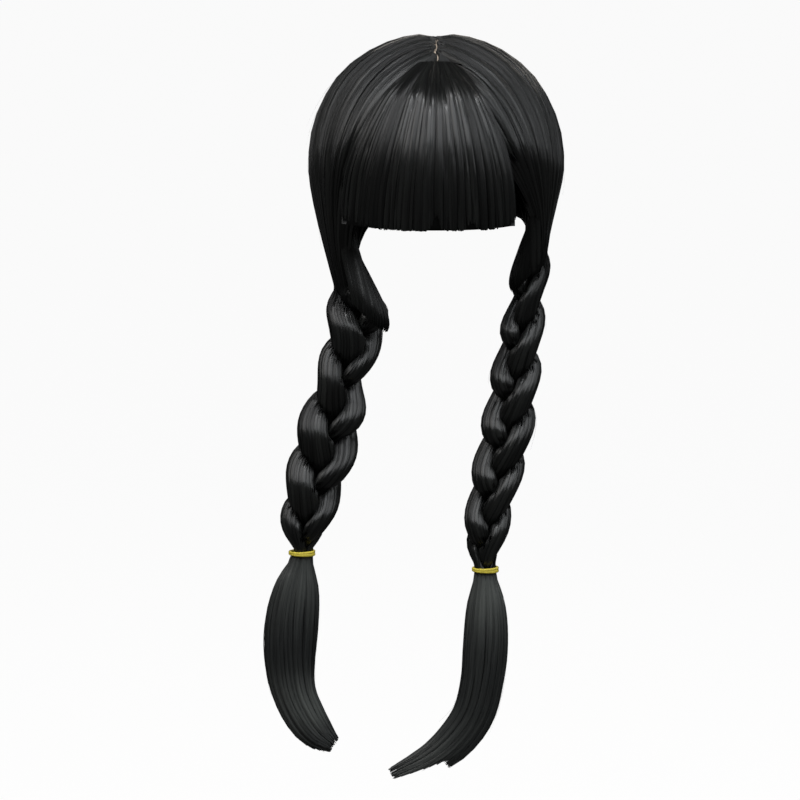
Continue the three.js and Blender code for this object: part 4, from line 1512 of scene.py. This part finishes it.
class WIG_OT_ties(bpy.types.Operator):
    """Winds the yellow elastics"""

    bl_idname = "wig.ties"
    bl_label = "Ties"

    def execute(self, context):
        wig = context.scene.wig
        for name, plait in plaits(wig).items():
            width, depth = plait_size(plait, wig.braid, 1.0)
            bm = bmesh.new()
            for lift, tilt in TIE_WRAPS:
                before = set(bm.verts)
                thick = wig.braid.tie_wall * 0.85
                made = bmesh.ops.create_circle(
                    bm,
                    segments=12,
                    radius=thick,
                    matrix=Matrix.Translation((1, 0, 0)) @ Matrix.Rotation(math.pi / 2, 4, "X"),
                )
                ring = made["verts"] + [edge for edge in bm.edges if not set(edge.verts) & before]
                bmesh.ops.spin(
                    bm, geom=ring, cent=(0, 0, 0), axis=(0, 0, 1), angle=FULL_TURN, steps=56, use_merge=True
                )
                verts = [vert for vert in bm.verts if vert not in before]
                for vert in verts:
                    flat = Vector((vert.co.x, vert.co.y, 0))
                    over = flat.length - 1
                    flat.normalize()
                    vert.co.x = flat.x * (float(width) + wig.braid.tie_wall * 0.7 + over)
                    vert.co.y = flat.y * (float(depth) + wig.braid.tie_wall * 0.7 + over)
                place = Vector((side_of(plait) * plait.tie_out, 0, -plait.tie_drop + lift))
                turned = Matrix.Rotation(math.radians(tilt), 3, "Y")
                bmesh.ops.rotate(bm, verts=verts, cent=(0, 0, 0), matrix=turned)
                bmesh.ops.translate(bm, verts=verts, vec=place)
            bmesh.ops.recalc_face_normals(bm, faces=bm.faces)
            mesh = finished_mesh(f"tie_{name}_windings", bm)
            add_piece(mesh, shared_material("yellow elastic"), slot="elastic", replaces=[f"tie_{name}"])
        return {"FINISHED"}


# The lights round the wig: the turn from the front, the rise over the level, the distance, the size, the
# power in watts and the tint
LIGHTS = [
    {"turn": 0, "rise": 41.5, "away": 2.0, "size": (2.0, 1.45), "power": 27, "tint": (0.94, 0.97, 1)},
    {"turn": 62, "rise": 24, "away": 2.0, "size": (1.6, 1.5), "power": 15, "tint": (0.95, 0.98, 1)},
    {"turn": -60, "rise": 36, "away": 2.0, "size": (1.6, 1.5), "power": 17, "tint": (1, 0.97, 0.95)},
    {"turn": 0, "rise": 62.5, "away": 1.6, "size": (1.1, 0.08), "power": 7, "tint": (0.97, 0.98, 1)},
    {"turn": 166, "rise": 26, "away": 2.0, "size": (1.8, 0.5), "power": 10, "tint": (1, 0.94, 0.86)},
]


LIGHT_AIM = (0, 0, -0.08)
FLOOR_RADIUS = 40
FLOOR_GLOW = 0.95
BACKDROP_LIGHT = 0.97  # of what the camera sees behind the floor


class WIG_OT_stage(bpy.types.Operator):
    """Lays the pale floor and sets the soft studio light"""

    bl_idname = "wig.stage"
    bl_label = "Floor and light"

    def execute(self, context):
        stage = context.scene.wig.stage
        scene = context.scene
        scene.view_settings.view_transform = "Standard"
        scene.view_settings.look = "None"

        bm = bmesh.new()
        bmesh.ops.create_circle(bm, cap_ends=True, segments=96, radius=FLOOR_RADIUS)
        bmesh.ops.translate(bm, verts=bm.verts, vec=(0, 0, -stage.floor_drop))
        mesh = bpy.data.meshes.new("floor")
        bm.to_mesh(mesh)
        bm.free()
        material, _, _, shader = new_material("pale floor", 0.9, 0.0)
        shader.inputs["Base Color"].default_value = (0.06, 0.06, 0.06, 1)
        shader.inputs["Emission Color"].default_value = (1, 1, 1, 1)
        shader.inputs["Emission Strength"].default_value = FLOOR_GLOW
        mesh.materials.append(material)
        floor = bpy.data.objects.new("floor", mesh)
        floor.visible_diffuse = False
        floor.visible_glossy = False
        scene.collection.objects.link(floor)

        world = bpy.data.worlds.new("studio")
        world.use_nodes = True
        nodes, links = world.node_tree.nodes, world.node_tree.links
        even = nodes["Background"]
        even.inputs["Strength"].default_value = stage.world_light
        bright = add_node(nodes, "ShaderNodeBackground", {"Strength": BACKDROP_LIGHT})
        for shown in (even, bright):
            shown.inputs["Color"].default_value = (1, 1, 1, 1)
        seen = nodes.new("ShaderNodeLightPath")
        choose = nodes.new("ShaderNodeMixShader")
        links.new(seen.outputs["Is Camera Ray"], choose.inputs["Fac"])
        links.new(even.outputs["Background"], choose.inputs[1])
        links.new(bright.outputs["Background"], choose.inputs[2])
        links.new(choose.outputs["Shader"], nodes["World Output"].inputs["Surface"])
        scene.world = world

        for row in LIGHTS:
            name = f"light_{row['turn']}_{row['rise']}"
            data = bpy.data.lights.new(name, "AREA")
            data.shape = "RECTANGLE"
            data.size, data.size_y = row["size"]
            data.energy = row["power"]
            data.color = row["tint"]
            light = bpy.data.objects.new(name, data)
            azimuth, rise = math.radians(row["turn"]), math.radians(row["rise"])
            aim = Vector(LIGHT_AIM)
            level = math.cos(rise)
            back = Vector((math.sin(azimuth) * level, -math.cos(azimuth) * level, math.sin(rise)))
            light.location = aim + back * row["away"]
            light.rotation_euler = back.to_track_quat("Z", "Y").to_euler()
            scene.collection.objects.link(light)
        return {"FINISHED"}


STEPS = ["camera", "cap", "parting", "crown", "fringe", "plaits", "tails", "ties", "stage"]


class WIG_PT_panel(bpy.types.Panel):
    """Lists the wig's steps and settings"""

    bl_idname = "WIG_PT_panel"
    bl_label = "Plaited wig"
    bl_space_type = "VIEW_3D"
    bl_region_type = "UI"
    bl_category = "Wig"

    def draw(self, context):
        layout = self.layout
        for step in STEPS:
            layout.operator(f"wig.{step}")
        wig = context.scene.wig
        for kind in WigSettings.__annotations__:
            group = getattr(wig, kind)
            box = layout.box()
            for name in group.__annotations__:
                box.prop(group, name)


CLASSES = [
    HeadSettings,
    FringeSettings,
    LeftPlaitSettings,
    RightPlaitSettings,
    BraidSettings,
    LockSettings,
    FinishSettings,
    StageSettings,
    WigSettings,
    WIG_OT_camera,
    WIG_OT_cap,
    WIG_OT_parting,
    WIG_OT_crown,
    WIG_OT_fringe,
    WIG_OT_plaits,
    WIG_OT_tails,
    WIG_OT_ties,
    WIG_OT_stage,
    WIG_PT_panel,
]


def register():
    for item in CLASSES:
        bpy.utils.register_class(item)
    bpy.types.Scene.wig = PointerProperty(type=WigSettings)


def unregister():
    del bpy.types.Scene.wig
    for item in reversed(CLASSES):
        bpy.utils.unregister_class(item)


def main():
    register()
    for step in STEPS:
        getattr(bpy.ops.wig, step)()


if __name__ == "__main__":
    main()
